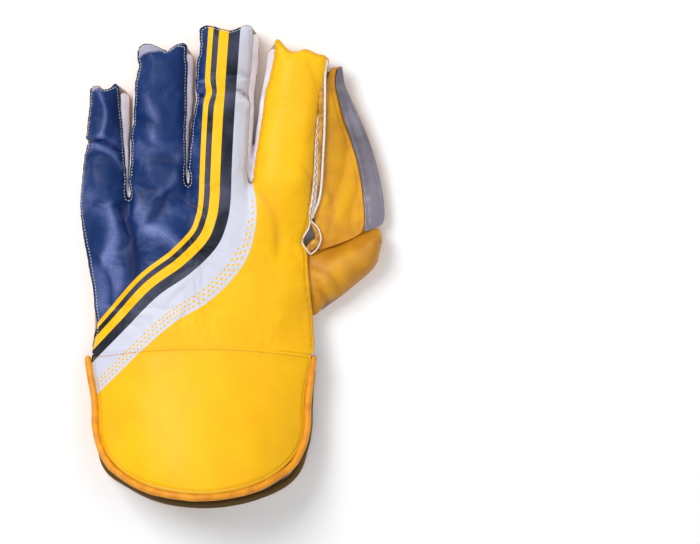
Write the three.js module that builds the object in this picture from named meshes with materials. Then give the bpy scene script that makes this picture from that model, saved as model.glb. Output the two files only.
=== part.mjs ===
import * as THREE from 'three';

// A left-hand wicketkeeping glove in millimetres, lying on its palm with its back up.
// +Y runs from the cuff to the fingertips, +X towards the thumb and +Z out of the back.
// While it is shaped, y is 0 at the wrist seam and x is 0 on the middle line of the hand.

// Lengths along the glove
const handReach = 215; // wrist seam to the tip of the middle finger
const knuckleReach = 110; // wrist seam to the finger slits of the back
const palmReach = 136; // wrist seam to the finger slits of the palm
const cuffDrop = 89.3; // wrist seam to the lowest edge of the back flap
const cuffSide = 48; // wrist seam to where the flaps round off at their sides
const palmFlapExtra = 4.7; // how much further the palm flap reaches than the back flap
const wristArch = 6; // rise of the wrist seam at the middle of the back

// Widths across the glove
const halfWidth = 76; // middle line to either side of the hand
const cuffHalfWidth = 66.2; // middle line to either side of the cuff at its mouth
const slitWidth = 4.6; // finger slits, just above the crotch
const thumbOut = 45; // side of the hand to the tip of the thumb
const thumbSpread = halfWidth + thumbOut;
const thumbHeight = 84; // wrist seam to the top of the thumb's tip

// Heights above the surface on which the palm lies
const backSeam = 20; // edge of the back leather along the fingers
const palmSeam = 7; // edge of the palm rubber along the fingers
const thumbSeam = 11.5; // side seams of the thumb
const fingerDepth = 29; // top of a finger near its tip
const handDepth = 44; // top of the hand at the wrist
const mouthDepth = 64; // top of the cuff at its mouth
const thumbDepth = 25; // top of the thumb near its tip
const mouthSeam = 25; // side edges of the back flap
const flapSeam = 16; // side edges of the palm flap
const heelSeam = 10; // outer edge of the palm rubber at the wrist
const webRoot = 17; // web where it leaves the index finger
const webEdge = 9; // web at its free edge

// Walls and trims
const leather = 2.5; // padded back, thumb and web leather
const rubber = 3; // faced and padded palm
const gussetWall = 1.5;
const liningWall = 1;
const stripWidth = 4.4; // piping down the index finger
const tapeWall = 1.6; // silver tape on the web
const pipeRadius = 2.3; // piped edges of the cuff
const cordRadius = 1.5; // cord round the crotch's hole
const thumbCord = 0.9; // thin edge of the thumb
const clearance = 0.35; // between pieces that are sewn to each other
const tuck = 3; // how far the thumb's back runs in under the back panel

// Shape of a finger's section: where its columns lie from edge to edge
const stations = [-1, -0.9, -0.55, 0, 0.55, 0.9, 1];
const fingerCount = 4;
const curlWidth = 20; // width over which the palm's edge turns up
const seamInset = 0.4; // gusset behind the panel edge that hides its seam
const tipOverlap = 1.7; // drop from the back's tip to the palm's edge inside it
const backOverlap = 1.5; // drop from a back edge to the gusset under it
const palmOverlap = 2.2; // rise from a palm edge to the gusset on it
const crotchRise = 4.5; // the same at the crotch of two fingers
const rootGap = 0.85; // between the back panel and the thumb's back under it
const tipDip = 2.2; // dip in the middle of a fingertip's seam
const tipCorner = 3.2; // rounding of a fingertip's corners
const tipCornerStart = 0.8; // where across the finger that rounding starts
const palmFlat = 0.55; // flat share of each finger's palm, from its middle
const thumbFlat = 0.5; // the same for the thumb
const flapFlat = 0.6; // the same for the palm flap
const knuckleBlend = 0.68; // share of the hand where its fingers start to stand out
const grooveStart = 0.86; // the same on the palm

// How square a section is: 2 is round
const squareness = { finger: 4, hand: 2.6, thumb: 2.5, cuff: 2.2, cuffOutline: 2.1 };

// The five lines between and beside the fingers. x: shares of halfWidth, back: share of
// knuckleReach, palm: share of palmReach, seam: height there as a share of backSeam.
const slits = [
  { x: -1.03, back: 0.91, palmX: -1.0, palm: 0.86, seam: 1.0 },
  { x: -0.605, back: 0.92, palmX: -0.59, palm: 0.875, seam: 1.3 },
  { x: -0.1, back: 1.0, palmX: -0.055, palm: 0.955, seam: 1.35 },
  { x: 0.42, back: 1.005, palmX: 0.455, palm: 1.0, seam: 1.3 },
  { x: 0.97, back: 1.01, palmX: 0.985, palm: 1.0, seam: 1.0 },
];

// The four fingertips. Sides are shares of halfWidth, reaches are shares of handReach.
const fingers = [
  { left: -0.945, right: -0.69, leftReach: 0.807, rightReach: 0.816, palmLeft: -0.957, palmRight: -0.58 },
  { left: -0.535, right: -0.112, leftReach: 0.925, rightReach: 0.937, palmLeft: -0.553, palmRight: -0.045 },
  { left: 0.008, right: 0.445, leftReach: 0.988, rightReach: 0.998, palmLeft: -0.016, palmRight: 0.513 },
  { left: 0.64, right: 1.09, leftReach: 0.953, rightReach: 0.893, palmLeft: 0.575, palmRight: 1.085 },
];

// Rows up a finger from crotch to tip. crown: how full the back stands there,
// lift: how far the palm's rubber has turned up round the tip.
const fingerRows = [
  { along: 0.0, crown: 1.0, lift: 0 },
  { along: 0.04, crown: 1.0, lift: 0 },
  { along: 0.2, crown: 1.0, lift: 0 },
  { along: 0.36, crown: 0.9, lift: 0 },
  { along: 0.46, crown: 1.0, lift: 0 },
  { along: 0.65, crown: 1.03, lift: 0 },
  { along: 0.82, crown: 1.0, lift: 0 },
  { along: 0.92, crown: 0.93, lift: 0.02 },
  { along: 0.965, crown: 0.78, lift: 0.25 },
  { along: 0.99, crown: 0.52, lift: 0.7 },
  { along: 1.0, crown: 0.3, lift: 1 },
];

// Sections of the hand from the wrist seam up. reach: share of knuckleReach, sides: shares of
// halfWidth, top: share of handDepth, leftSeam and rightSeam: shares of backSeam.
const handSections = [
  { reach: 0.0, left: -0.95, right: 1.0, top: 1.0, leftSeam: 0.84, rightSeam: 1.1 },
  { reach: 0.11, left: -0.915, right: 0.975, top: 0.98, leftSeam: 0.86, rightSeam: 1.0 },
  { reach: 0.23, left: -0.89, right: 0.965, top: 0.96, leftSeam: 0.88, rightSeam: 0.9 },
  { reach: 0.42, left: -0.915, right: 0.94, top: 0.94, leftSeam: 0.91, rightSeam: 1.35 },
  { reach: 0.61, left: -0.96, right: 0.92, top: 0.92, leftSeam: 0.94, rightSeam: 0.95 },
  { reach: 0.67, left: -0.98, right: 0.865, top: 0.91, leftSeam: 0.95, rightSeam: 0.95 },
  { reach: 0.75, left: -1.005, right: 0.935, top: 0.9, leftSeam: 0.96, rightSeam: 0.96 },
  { reach: 0.84, left: -1.02, right: 0.94, top: 0.87, leftSeam: 0.97, rightSeam: 0.98 },
  { reach: 0.93, left: -1.03, right: 0.955, top: 0.83, leftSeam: 0.99, rightSeam: 1.0 },
  { reach: 1.0, left: -1.03, right: 0.97, top: 0.79, leftSeam: 1.0, rightSeam: 1.0 },
];

// Where the thumb's back and its front meet the hand, as shares of knuckleReach and palmReach.
const thumbRoot = { low: 0.23, high: 0.61 };
const thumbCrease = { low: 0.02, high: 0.53 };

// Sides of the palm rubber from the wrist seam up. reach: share of palmReach, sides: shares of
// halfWidth, rightLift: how far the right edge turns up. The right side follows the thumb crease.
const palmSections = [
  { reach: 0.0, left: -0.94, right: 0.46, rightLift: 0 },
  { reach: 0.2, left: -0.9, right: 0.27, rightLift: 0 },
  { reach: 0.35, left: -0.92, right: 0.31, rightLift: 0 },
  { reach: 0.53, left: -0.97, right: 0.49, rightLift: 0 },
  { reach: 0.65, left: -1.0, right: 0.92, rightLift: 0.6 },
  { reach: 0.78, left: -1.02, right: 0.945, rightLift: 1 },
  { reach: 1.0, left: -1.0, right: 0.985, rightLift: 1 },
];

// Lower and upper side of the thumb from the hand to its tip. x: shares of thumbSpread,
// y: shares of thumbHeight, curl: how far the front has turned up, crown: fullness of the back.
const thumbRows = [
  { along: 0.2, lowX: 0.41, lowY: 0.14, highX: 0.45, highY: 0.8, curl: 0.45, crown: 1.1 },
  { along: 0.4, lowX: 0.545, lowY: 0.25, highX: 0.59, highY: 0.795, curl: 0.9, crown: 1.15 },
  { along: 0.55, lowX: 0.65, lowY: 0.36, highX: 0.705, highY: 0.84, curl: 1, crown: 1.1 },
  { along: 0.7, lowX: 0.755, lowY: 0.48, highX: 0.815, highY: 0.9, curl: 1, crown: 1.0 },
  { along: 0.85, lowX: 0.87, lowY: 0.61, highX: 0.91, highY: 0.96, curl: 1, crown: 0.97 },
  { along: 0.94, lowX: 0.94, lowY: 0.7, highX: 0.96, highY: 0.985, curl: 1, crown: 0.85 },
  { along: 1.0, lowX: 0.975, lowY: 0.78, highX: 0.982, highY: 0.965, curl: 1, crown: 0.4 },
];
const thumbStations = [0, 0.06, 0.25, 0.5, 0.75, 0.94, 1];
const thumbNose = 3.5; // roundness of the thumb's tip in plan
const heelRoom = 1.4; // wrist gusset clear of the thumb's heel

// The hole between hand, web and thumb. holeReaches: the last rows of the piping above it.
// The cord round it goes by reach, a share of knuckleReach, bulge, a share of halfWidth, and
// height, a share of backSeam.
const holeReaches = [0.93, 0.84, 0.79];
const crotchPoints = [
  { reach: 0.76, bulge: 0.98, height: 0.85 },
  { reach: 0.72, bulge: 1.02, height: 0.83 },
  { reach: 0.67, bulge: 1.03, height: 0.85 },
  { reach: 0.64, bulge: 1.0, height: 0.9 },
];

// Rows down the web from the index fingertip to the thumb. root and edgeY: where the row lies at
// the piping and at the free edge, as shares of the way from thumbHeight to handReach. edgeX: share
// of thumbSpread, tape: share of the row under the silver tape, fall: how far the web has sloped
// down, fold: soft folds, a share of webRoot.
const webRows = [
  { root: 0.778, edgeX: 0.775, edgeY: 0.795, tape: 0.5, fall: 0.1, fold: 0 },
  { root: 0.672, edgeX: 0.8, edgeY: 0.664, tape: 0.46, fall: 0.25, fold: 0.03 },
  { root: 0.54, edgeX: 0.845, edgeY: 0.565, tape: 0.42, fall: 0.45, fold: 0.08 },
  { root: 0.409, edgeX: 0.895, edgeY: 0.45, tape: 0.38, fall: 0.7, fold: 0.12 },
  { root: 0.278, edgeX: 0.935, edgeY: 0.344, tape: 0.32, fall: 0.9, fold: 0.14 },
  { root: 0.147, edgeX: 0.965, edgeY: 0.237, tape: 0.3, fall: 1, fold: 0.14 },
  { root: 0.023, edgeX: 0.985, edgeY: 0.13, tape: 0.3, fall: 1, fold: 0.1 },
  { root: -0.059, edgeX: 0.99, edgeY: 0.056, tape: 0.32, fall: 0.95, fold: 0.05 },
  { root: -0.116, edgeX: 0.985, edgeY: 0.007, tape: 0.34, fall: 0.8, fold: 0 },
];
const webStations = [0, 0.15, 0.35, 0.55, 0.8, 1];
const tapeStations = [0, 0.5, 1];

const mix = THREE.MathUtils.lerp;
const ease = THREE.MathUtils.smoothstep;
const point = (x, y, z) => new THREE.Vector3(x, y, z);

// Reads a column of a table between its rows.
function read(table, key, value, column) {
  const last = table.length - 1;
  const found = table.findIndex((row) => row[key] >= value);
  const upper = Math.max(1, found < 0 ? last : found);
  const low = table[upper - 1];
  const high = table[upper];
  const share = THREE.MathUtils.clamp((value - low[key]) / (high[key] - low[key]), 0, 1);
  return mix(low[column], high[column], share);
}

// Quads between neighbouring rows of points, facing up, or down for a palm piece.
function quadsOf(rows, facesDown = false) {
  const quads = [];
  for (let row = 0; row + 1 < rows.length; row += 1) {
    for (let column = 0; column + 1 < rows[row].length; column += 1) {
      const near = [rows[row][column], rows[row][column + 1]];
      const far = [rows[row + 1][column + 1], rows[row + 1][column]];
      const quad = [...near, ...far];
      quads.push(facesDown ? quad.reverse() : quad);
    }
  }
  return quads;
}

// A closed wall from the quads of a face. It starts at a depth behind that face.
function wall(quads, thickness, depth = 0) {
  const numbers = new Map();
  const outer = [];
  const normals = [];
  const faces = quads.map((quad) => quad.map((corner) => {
    const key = corner.toArray().map((value) => Math.round(value * 1000)).join();
    if (!numbers.has(key)) {
      numbers.set(key, outer.length);
      outer.push(corner);
      normals.push(new THREE.Vector3());
    }
    return numbers.get(key);
  }));
  const edges = new Map();
  faces.forEach((face) => {
    const across = outer[face[2]].clone().sub(outer[face[0]]);
    const other = outer[face[3]].clone().sub(outer[face[1]]);
    const normal = across.cross(other).normalize();
    face.forEach((corner, place) => {
      normals[corner].add(normal);
      edges.set(`${corner}_${face[(place + 1) % 4]}`, [corner, face[(place + 1) % 4]]);
    });
  });
  normals.forEach((normal) => normal.normalize());
  const layer = (behind) => outer.map((corner, place) => {
    return corner.clone().addScaledVector(normals[place], -behind);
  });
  const count = outer.length;
  const index = [];
  faces.forEach(([a, b, c, d]) => {
    index.push(a, b, c, a, c, d);
    index.push(count + a, count + c, count + b, count + a, count + d, count + c);
  });
  edges.forEach(([from, to]) => {
    if (!edges.has(`${to}_${from}`)) {
      index.push(to, from, count + from, to, count + from, count + to);
    }
  });
  const corners = [...layer(depth), ...layer(depth + thickness)];
  const geometry = new THREE.BufferGeometry().setFromPoints(corners);
  geometry.setIndex(index);
  geometry.computeVertexNormals();
  return geometry;
}

// A round cord or piping through a few points.
function piping(path, radius, steps) {
  const section = new THREE.Shape().absarc(0, 0, radius, 0, Math.PI * 2);
  return new THREE.ExtrudeGeometry(section, {
    steps,
    curveSegments: 3,
    bevelEnabled: false,
    extrudePath: new THREE.CatmullRomCurve3(path),
  });
}

const glove = new THREE.Group();

function add(name, geometry, color, roughness) {
  const material = new THREE.MeshStandardMaterial({ color, roughness, metalness: 0 });
  const mesh = new THREE.Mesh(geometry, material);
  mesh.name = name;
  glove.add(mesh);
}

const yellow = 0xfcc410;
const navy = 0x1b3a6b;
const rubberYellow = 0xe4a814;
const paleLeather = 0xd6d0d8;
const silver = 0xc4c6d2;
const orange = 0xf8ac24;
const olive = 0x5a4b32;

// Height of a finger's side seam at a row, which comes down from the crotch to the tip.
function seamHeight(slit, along) {
  return backSeam * mix(slits[slit].seam, 1, ease(along, 0, 0.6));
}

// Fullness of the leather across a finger and across the whole hand.
const crown = (side, power) => 1 - Math.abs(side) ** power;

const knuckleTop = handDepth * handSections[handSections.length - 1].top;

// Corners of a tip are rounded and the seam between them dips.
const beyond = (side, start) => Math.max(0, Math.abs(side) - start) / (1 - start);
const tipScallop = (side) => tipDip * (1 - side ** 2) ** 2 + tipCorner * beyond(side, tipCornerStart);

function backFingerPoint(finger, row, side) {
  const tip = fingers[finger];
  const across = (side + 1) / 2;
  const opening = row.along > 0 ? slitWidth / 2 : 0;
  const leftRoot = slits[finger].x * halfWidth + (finger > 0 ? opening : 0);
  const rightRoot = slits[finger + 1].x * halfWidth - (finger + 1 < fingerCount ? opening : 0);
  const left = mix(leftRoot, tip.left * halfWidth, row.along);
  const right = mix(rightRoot, tip.right * halfWidth, row.along);
  const root = knuckleReach * mix(slits[finger].back, slits[finger + 1].back, across);
  const end = handReach * mix(tip.leftReach, tip.rightReach, across) - tipScallop(side);
  const seam = mix(seamHeight(finger, row.along), seamHeight(finger + 1, row.along), across);
  const top = mix(knuckleTop, fingerDepth, ease(row.along, 0, 0.7));
  const rise = (top - seam) * crown(side, squareness.finger) * row.crown;
  return point(mix(left, right, across), mix(root, end, row.along), seam + rise);
}

// Position across the hand of a finger's column: even at the wrist, at the fingers by the slits.
function columnShare(finger, side, blend) {
  const even = (finger + (side + 1) / 2) / fingerCount;
  const first = slits[0].x;
  const whole = slits[fingerCount].x - first;
  const here = mix(slits[finger].x, slits[finger + 1].x, (side + 1) / 2);
  return mix(even, (here - first) / whole, blend);
}

const wristLine = (across) => wristArch * (1 - across ** 2);

function backHandPoint(reach, finger, side) {
  const share = columnShare(finger, side, reach);
  const across = share * 2 - 1;
  const left = read(handSections, 'reach', reach, 'left') * halfWidth;
  const right = read(handSections, 'reach', reach, 'right') * halfWidth;
  const end = knuckleReach * mix(slits[finger].back, slits[finger + 1].back, (side + 1) / 2);
  const leftSeam = read(handSections, 'reach', reach, 'leftSeam') * backSeam;
  const rightSeam = read(handSections, 'reach', reach, 'rightSeam') * backSeam;
  const seam = mix(leftSeam, rightSeam, share);
  const top = read(handSections, 'reach', reach, 'top') * handDepth;
  const handHeight = seam + (top - seam) * crown(across, squareness.hand);
  const fingerHeight = backFingerPoint(finger, fingerRows[0], side).z;
  const height = mix(handHeight, fingerHeight, ease(reach, knuckleBlend, 1));
  return point(mix(left, right, share), mix(wristLine(across), end, reach), height);
}

// Columns across all four fingers, without repeating the shared ones.
const columns = [];
for (let finger = 0; finger < fingerCount; finger += 1) {
  stations.forEach((side) => {
    if (finger === 0 || side > -1) {
      columns.push({ finger, side });
    }
  });
}

// Rows of the hand lie where the thumb and the hole beside it need them.
const rootReaches = thumbStations.map((share) => mix(thumbRoot.low, thumbRoot.high, share));
const handReaches = [0, 0.11, ...rootReaches, 0.67, 0.75, 0.84, 0.93, 1];

function backPanel() {
  const hand = handReaches.map((reach) => {
    return columns.map(({ finger, side }) => backHandPoint(reach, finger, side));
  });
  const quads = quadsOf(hand);
  for (let finger = 0; finger < fingerCount; finger += 1) {
    const rows = fingerRows.map((row) => stations.map((side) => backFingerPoint(finger, row, side)));
    quads.push(...quadsOf(rows));
  }
  return wall(quads, leather);
}

// The palm lies flat and turns up at its edges.
const palmTrough = (side) => beyond(side, palmFlat) ** 2;

function palmFingerPoint(finger, row, side) {
  const tip = fingers[finger];
  const across = (side + 1) / 2;
  const opening = row.along > 0 ? clearance : 0;
  const leftRoot = slits[finger].palmX * halfWidth + (finger > 0 ? opening : 0);
  const rightRoot = slits[finger + 1].palmX * halfWidth - (finger + 1 < fingerCount ? opening : 0);
  const left = mix(leftRoot, tip.palmLeft * halfWidth, row.along);
  const right = mix(rightRoot, tip.palmRight * halfWidth, row.along);
  const root = palmReach * mix(slits[finger].palm, slits[finger + 1].palm, across);
  const backTip = backFingerPoint(finger, fingerRows[fingerRows.length - 1], side);
  const end = handReach * mix(tip.leftReach, tip.rightReach, across) - tipScallop(side) - clearance;
  const low = palmSeam * palmTrough(side);
  const high = backTip.z - leather - tipOverlap;
  const closed = mix(tip.left * halfWidth + seamInset, tip.right * halfWidth - seamInset, across);
  const x = mix(mix(left, right, across), closed, row.lift);
  return point(x, mix(root, end, row.along), mix(low, high, row.lift));
}

function palmHandPoint(reach, finger, side) {
  const first = slits[0].palmX;
  const whole = slits[fingerCount].palmX - first;
  const knuckle = (mix(slits[finger].palmX, slits[finger + 1].palmX, (side + 1) / 2) - first) / whole;
  const even = (finger + (side + 1) / 2) / fingerCount;
  const share = mix(even, knuckle, reach);
  const left = read(palmSections, 'reach', reach, 'left') * halfWidth;
  const right = read(palmSections, 'reach', reach, 'right') * halfWidth;
  const x = mix(left, right, share);
  const end = palmReach * mix(slits[finger].palm, slits[finger + 1].palm, (side + 1) / 2);
  const leftEdge = mix(heelSeam, palmSeam, ease(reach, 0.3, 1));
  const leftCurl = leftEdge * Math.max(0, 1 - (x - left) / curlWidth) ** 2;
  const rightEdge = palmSeam * read(palmSections, 'reach', reach, 'rightLift');
  const rightCurl = rightEdge * Math.max(0, 1 - (right - x) / curlWidth) ** 2;
  const groove = palmSeam * palmTrough(side) * ease(reach, grooveStart, 1);
  const height = reach < 1 ? Math.max(leftCurl, rightCurl, groove) : palmSeam * palmTrough(side);
  return point(x, end * reach, height);
}

const creaseReaches = thumbStations.map((share) => mix(thumbCrease.low, thumbCrease.high, share));
const palmReaches = [0, ...creaseReaches, 0.65, 0.75, 0.86, 0.94, 1];

function palmFace() {
  const hand = palmReaches.map((reach) => {
    return columns.map(({ finger, side }) => palmHandPoint(reach, finger, side));
  });
  const quads = quadsOf(hand, true);
  for (let finger = 0; finger < fingerCount; finger += 1) {
    const rows = fingerRows.map((row) => stations.map((side) => palmFingerPoint(finger, row, side)));
    quads.push(...quadsOf(rows, true));
  }
  return wall(quads, rubber);
}

// A strip that stands between an upper and a lower line and faces right of its run.
function strip(pairs, thickness) {
  const rows = [0, 0.5, 1].map((share) => {
    return pairs.map(({ top, bottom }) => top.clone().lerp(bottom, share));
  });
  return wall(quadsOf(rows), thickness);
}

// Upper and lower seam of a finger's side, with room for the panels' edges.
function sideSeam(finger, row, side) {
  const upper = backFingerPoint(finger, row, side);
  const lower = palmFingerPoint(finger, row, side);
  const inset = row.along > 0 ? -Math.sign(side) * seamInset : 0;
  const free = ease(row.along, 0, 0.3);
  return {
    top: upper.add(point(inset, 0, -mix(leather, backOverlap, free))),
    bottom: lower.add(point(inset, 0, mix(crotchRise, palmOverlap, free) + row.lift * rubber)),
  };
}

const gussetRows = fingerRows.filter((row) => row.lift < 0.5);

// A pale strip down one finger's side, round the crotch and up the next finger's side.
function fingerGusset(slit) {
  const down = gussetRows.map((row) => sideSeam(slit - 1, row, 1)).reverse();
  const up = gussetRows.slice(1).map((row) => sideSeam(slit, row, -1));
  return strip([...down, ...up], gussetWall);
}

// The pale strip in the outer side seam, from the wrist to the little fingertip.
function littleSideStrip() {
  const toPalm = (slits[0].back * knuckleReach) / (slits[0].palm * palmReach);
  const hand = handReaches.filter((reach) => reach > 0).map((reach) => {
    const upper = backHandPoint(reach, 0, -1);
    const lower = palmHandPoint(reach * toPalm, 0, -1);
    return {
      top: upper.add(point(seamInset, 0, -leather)),
      bottom: point(lower.x + seamInset, upper.y, lower.z + rubber),
    };
  });
  const finger = gussetRows.slice(1).map((row) => sideSeam(0, row, -1));
  return strip([...hand, ...finger], gussetWall);
}

const thumbSide = fingerCount - 1;
const underBack = point(0, 0, -leather - rootGap);

// The thumb side of the index finger and hand, from the fingertip down to the thumb's hole.
function pipingLine() {
  const finger = gussetRows.map((row) => backFingerPoint(thumbSide, row, 1)).reverse();
  const hand = holeReaches.map((reach) => backHandPoint(reach, thumbSide, 1));
  return [...finger, ...hand];
}

function indexSideStrip() {
  const out = clearance + stripWidth;
  const pairs = pipingLine().map((edge) => ({
    top: point(edge.x + out, edge.y, edge.z + 1),
    bottom: point(edge.x + out, edge.y, palmSeam),
  }));
  return strip(pairs, stripWidth);
}

// The loop of cord on the web's side of the hole.
function crotchLoop() {
  return crotchPoints.map(({ reach, bulge, height }) => {
    return point(bulge * halfWidth, reach * knuckleReach, height * backSeam);
  });
}

// Lower (0) to upper (1) side of the thumb at a row of the table.
function thumbPoint(row, share, height) {
  const x = mix(row.lowX, row.highX, share) * thumbSpread;
  const y = mix(row.lowY, row.highY, share) * thumbHeight;
  const nose = thumbNose * ease(row.along, 0.8, 1) * (1 - (share * 2 - 1) ** 2);
  return point(x + nose, y, height);
}

const thumbCurl = (share) => beyond(share * 2 - 1, thumbFlat) ** 2;

function thumbFace() {
  const crease = creaseReaches.map((reach) => {
    return palmHandPoint(reach, thumbSide, 1).add(point(clearance * 2, 0, 0));
  });
  const rows = thumbRows.map((row) => thumbStations.map((share) => {
    const rise = Math.max(row.curl * thumbCurl(share), ease(row.along, 0.9, 1));
    return thumbPoint(row, share, (thumbSeam - leather - clearance) * rise);
  }));
  return wall(quadsOf([crease, ...rows]), rubber);
}

// The thumb's back starts under the edge of the back panel.
function thumbBack() {
  const under = rootReaches.map((reach) => backHandPoint(reach, thumbSide, 1).add(underBack));
  const root = under.map((corner) => corner.clone().add(point(-tuck, 0, 0)));
  const lip = under.map((corner) => corner.clone().add(point(tuck, 0, 0)));
  const rows = thumbRows.filter((row) => row.along > 0.5).map((row) => thumbStations.map((share) => {
    const rise = (thumbDepth - thumbSeam) * row.crown * crown(share * 2 - 1, squareness.thumb);
    return thumbPoint(row, share, thumbSeam + rise);
  }));
  return wall(quadsOf([root, lip, ...rows], true), leather);
}

// A thin edge in the thumb's lower seam, round to the middle of its tip.
function thumbSideStrip() {
  const rows = thumbRows.filter((row) => row.along > 0.5);
  const low = rows.map((row) => thumbPoint(row, 0, thumbSeam - clearance));
  const out = thumbCord + clearance * 2;
  const path = low.map((corner, place) => {
    const before = low[Math.max(0, place - 1)];
    const after = low[Math.min(low.length - 1, place + 1)];
    const run = after.clone().sub(before).normalize();
    return corner.clone().add(point(run.y * out, -run.x * out, 0));
  });
  const tip = thumbPoint(rows[rows.length - 1], 0.45, thumbSeam - clearance);
  return piping([...path, tip.add(point(out, 0, 0))], thumbCord, 18);
}

// Pale leather from the thumb's heel up to the back panel, above the cuff.
function wristGusset() {
  const crease = palmHandPoint(creaseReaches[0], thumbSide, 1);
  const heel = point(crease.x + heelRoom, heelRoom / 2, heelRoom / 2);
  const low = thumbRows.slice(0, 2).map((row) => {
    const corner = thumbPoint(row, 0, thumbSeam * row.curl);
    return corner.add(point(heelRoom, -heelRoom, 0));
  });
  const bottom = [heel, ...low];
  const top = [0.01, 0.11, thumbRoot.low].map((reach) => {
    return backHandPoint(reach, thumbSide, 1).add(underBack).add(point(-seamInset, 0, 0));
  });
  const rows = [0, 0.3, 0.6, 1].map((share) => bottom.map((corner, place) => {
    return corner.clone().lerp(top[place], share);
  }));
  return wall(quadsOf(rows), gussetWall);
}

// The web hangs between the piping, or the crotch loop below it, and its silver edge.
function webPoint(row, share) {
  const piped = pipingLine().map((corner) => point(corner.x + stripWidth + clearance * 2, corner.y, 0));
  const looped = crotchLoop().map((corner) => point(corner.x + cordRadius + clearance * 4, corner.y, 0));
  const rootY = mix(thumbHeight, handReach, row.root);
  const line = [...piped, ...looped].map((corner) => ({ down: -corner.y, x: corner.x }));
  const rootX = read(line, 'down', -rootY, 'x');
  const x = mix(rootX, row.edgeX * thumbSpread, share);
  const y = mix(rootY, mix(thumbHeight, handReach, row.edgeY), share);
  const fold = row.fold * webRoot * Math.sin(share * Math.PI * 2.5);
  return point(x, y, mix(webRoot, webEdge, share * row.fall) + fold);
}

const leatherShares = (row) => webStations.map((share) => share * (1 - row.tape));
const tapeShares = (row) => tapeStations.map((share) => 1 - row.tape * (1 - share));

function webBack() {
  const rows = webRows.map((row) => leatherShares(row).map((share) => webPoint(row, share)));
  return wall(quadsOf(rows, true), leather);
}

function webStrip() {
  const beside = point(clearance * 1.3, 0, 0);
  const rows = webRows.map((row) => tapeShares(row).map((share) => webPoint(row, share).add(beside)));
  return wall(quadsOf(rows, true), tapeWall);
}

function webFace() {
  const rows = webRows.map((row) => {
    const shares = [...leatherShares(row), ...tapeShares(row).slice(1)];
    return shares.map((share) => webPoint(row, share));
  });
  return wall(quadsOf(rows, true), rubber, leather + clearance);
}

// Where the flaps start at the wrist seam, as shares of halfWidth.
const flapRoot = { left: -0.925, right: 0.93 };

// Outline of both flaps from side to side.
const flapRound = (across) => crown(across, squareness.cuffOutline) ** (1 / squareness.cuffOutline);
const wristX = (across) => halfWidth * mix(flapRoot.left, flapRoot.right, (across + 1) / 2);

// A point of a flap. share: 0 at the wrist seam, 1 at the mouth. across: -1 to 1.
function flapPoint(flap, share, across) {
  const depth = mix(cuffSide, flap.drop, flapRound(across));
  const x = mix(wristX(across), cuffHalfWidth * across + flap.shift, ease(share, 0, 0.7));
  const y = mix(flap.wristY(across), -depth, share);
  return point(x, y, flap.height(share, across));
}

const backFlap = {
  drop: cuffDrop,
  shift: 1,
  wristY: (across) => wristLine(across) - clearance * 2,
  height(share, across) {
    const seam = mix(handSections[0].leftSeam, handSections[0].rightSeam, (across + 1) / 2) * backSeam;
    const wrist = seam + (handDepth - seam) * crown(across, squareness.hand);
    const mouth = mouthSeam + (mouthDepth - mouthSeam) * crown(across, squareness.cuff);
    return mix(wrist, mouth, ease(share, 0, 0.9) * 0.7 + share * 0.3);
  },
};

const palmFlap = {
  drop: cuffDrop + palmFlapExtra,
  shift: 2,
  wristY: () => -clearance * 2,
  height(share, across) {
    return mix(heelSeam, flapSeam, share) * beyond(across, flapFlat) ** 2;
  },
};

const flapShares = [0, 0.12, 0.26, 0.42, 0.58, 0.74, 0.88, 0.96, 1];
const acrossShares = columns.map(({ finger, side }) => (finger + (side + 1) / 2) / 2 - 1);

function flapRows(flap, shares = flapShares, across = acrossShares) {
  return shares.map((share) => across.map((column) => flapPoint(flap, share, column)));
}

// A lining behind its flap, a little short of every edge.
function lining(flap, facesDown, depth) {
  const rows = flapRows(flap, flapShares.slice(1, -1), acrossShares.slice(1, -1));
  return wall(quadsOf(rows, facesDown), liningWall, depth + clearance);
}

// The piped edge of a flap runs round its outline, just outside it.
function flapBinding(flap, lift) {
  const rows = flapRows(flap).slice(1);
  const last = rows.length - 1;
  const left = rows.slice(0, last).map((row) => row[0]);
  const bottom = rows[last].filter((corner, place) => place % 2 === 0);
  const right = rows.slice(0, last).map((row) => row[row.length - 1]).reverse();
  const line = [...left, ...bottom, ...right];
  const path = line.map((corner, place) => {
    const before = line[Math.max(0, place - 1)];
    const after = line[Math.min(line.length - 1, place + 1)];
    const run = after.clone().sub(before);
    const out = point(run.y, -run.x, 0).normalize();
    const spot = corner.clone().addScaledVector(out, pipeRadius + clearance * 3);
    return spot.setZ(Math.max(pipeRadius + clearance, spot.z + lift));
  });
  return piping(path, pipeRadius, 44);
}

add('back_panel', backPanel(), navy, 0.45);
add('palm_face', palmFace(), rubberYellow, 0.8);
['little_ring', 'ring_middle', 'middle_index'].forEach((name, place) => {
  add(`${name}_gusset`, fingerGusset(place + 1), paleLeather, 0.75);
});
add('little_side_strip', littleSideStrip(), paleLeather, 0.7);
add('index_side_strip', indexSideStrip(), paleLeather, 0.7);
add('web_back', webBack(), yellow, 0.45);
add('web_strip', webStrip(), silver, 0.4);
add('web_face', webFace(), rubberYellow, 0.8);
add('thumb_back', thumbBack(), yellow, 0.45);
add('thumb_face', thumbFace(), rubberYellow, 0.8);
add('thumb_side_strip', thumbSideStrip(), silver, 0.5);
add('crotch_binding', piping(crotchLoop(), cordRadius, 14), yellow, 0.6);
add('wrist_gusset', wristGusset(), paleLeather, 0.75);
add('cuff_back', wall(quadsOf(flapRows(backFlap), true), leather), yellow, 0.45);
add('cuff_palm', wall(quadsOf(flapRows(palmFlap)), rubber), yellow, 0.45);
add('cuff_back_lining', lining(backFlap, true, leather), olive, 0.9);
add('cuff_palm_lining', lining(palmFlap, false, rubber), olive, 0.9);
add('cuff_back_binding', flapBinding(backFlap, -leather / 2), orange, 0.6);
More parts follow.
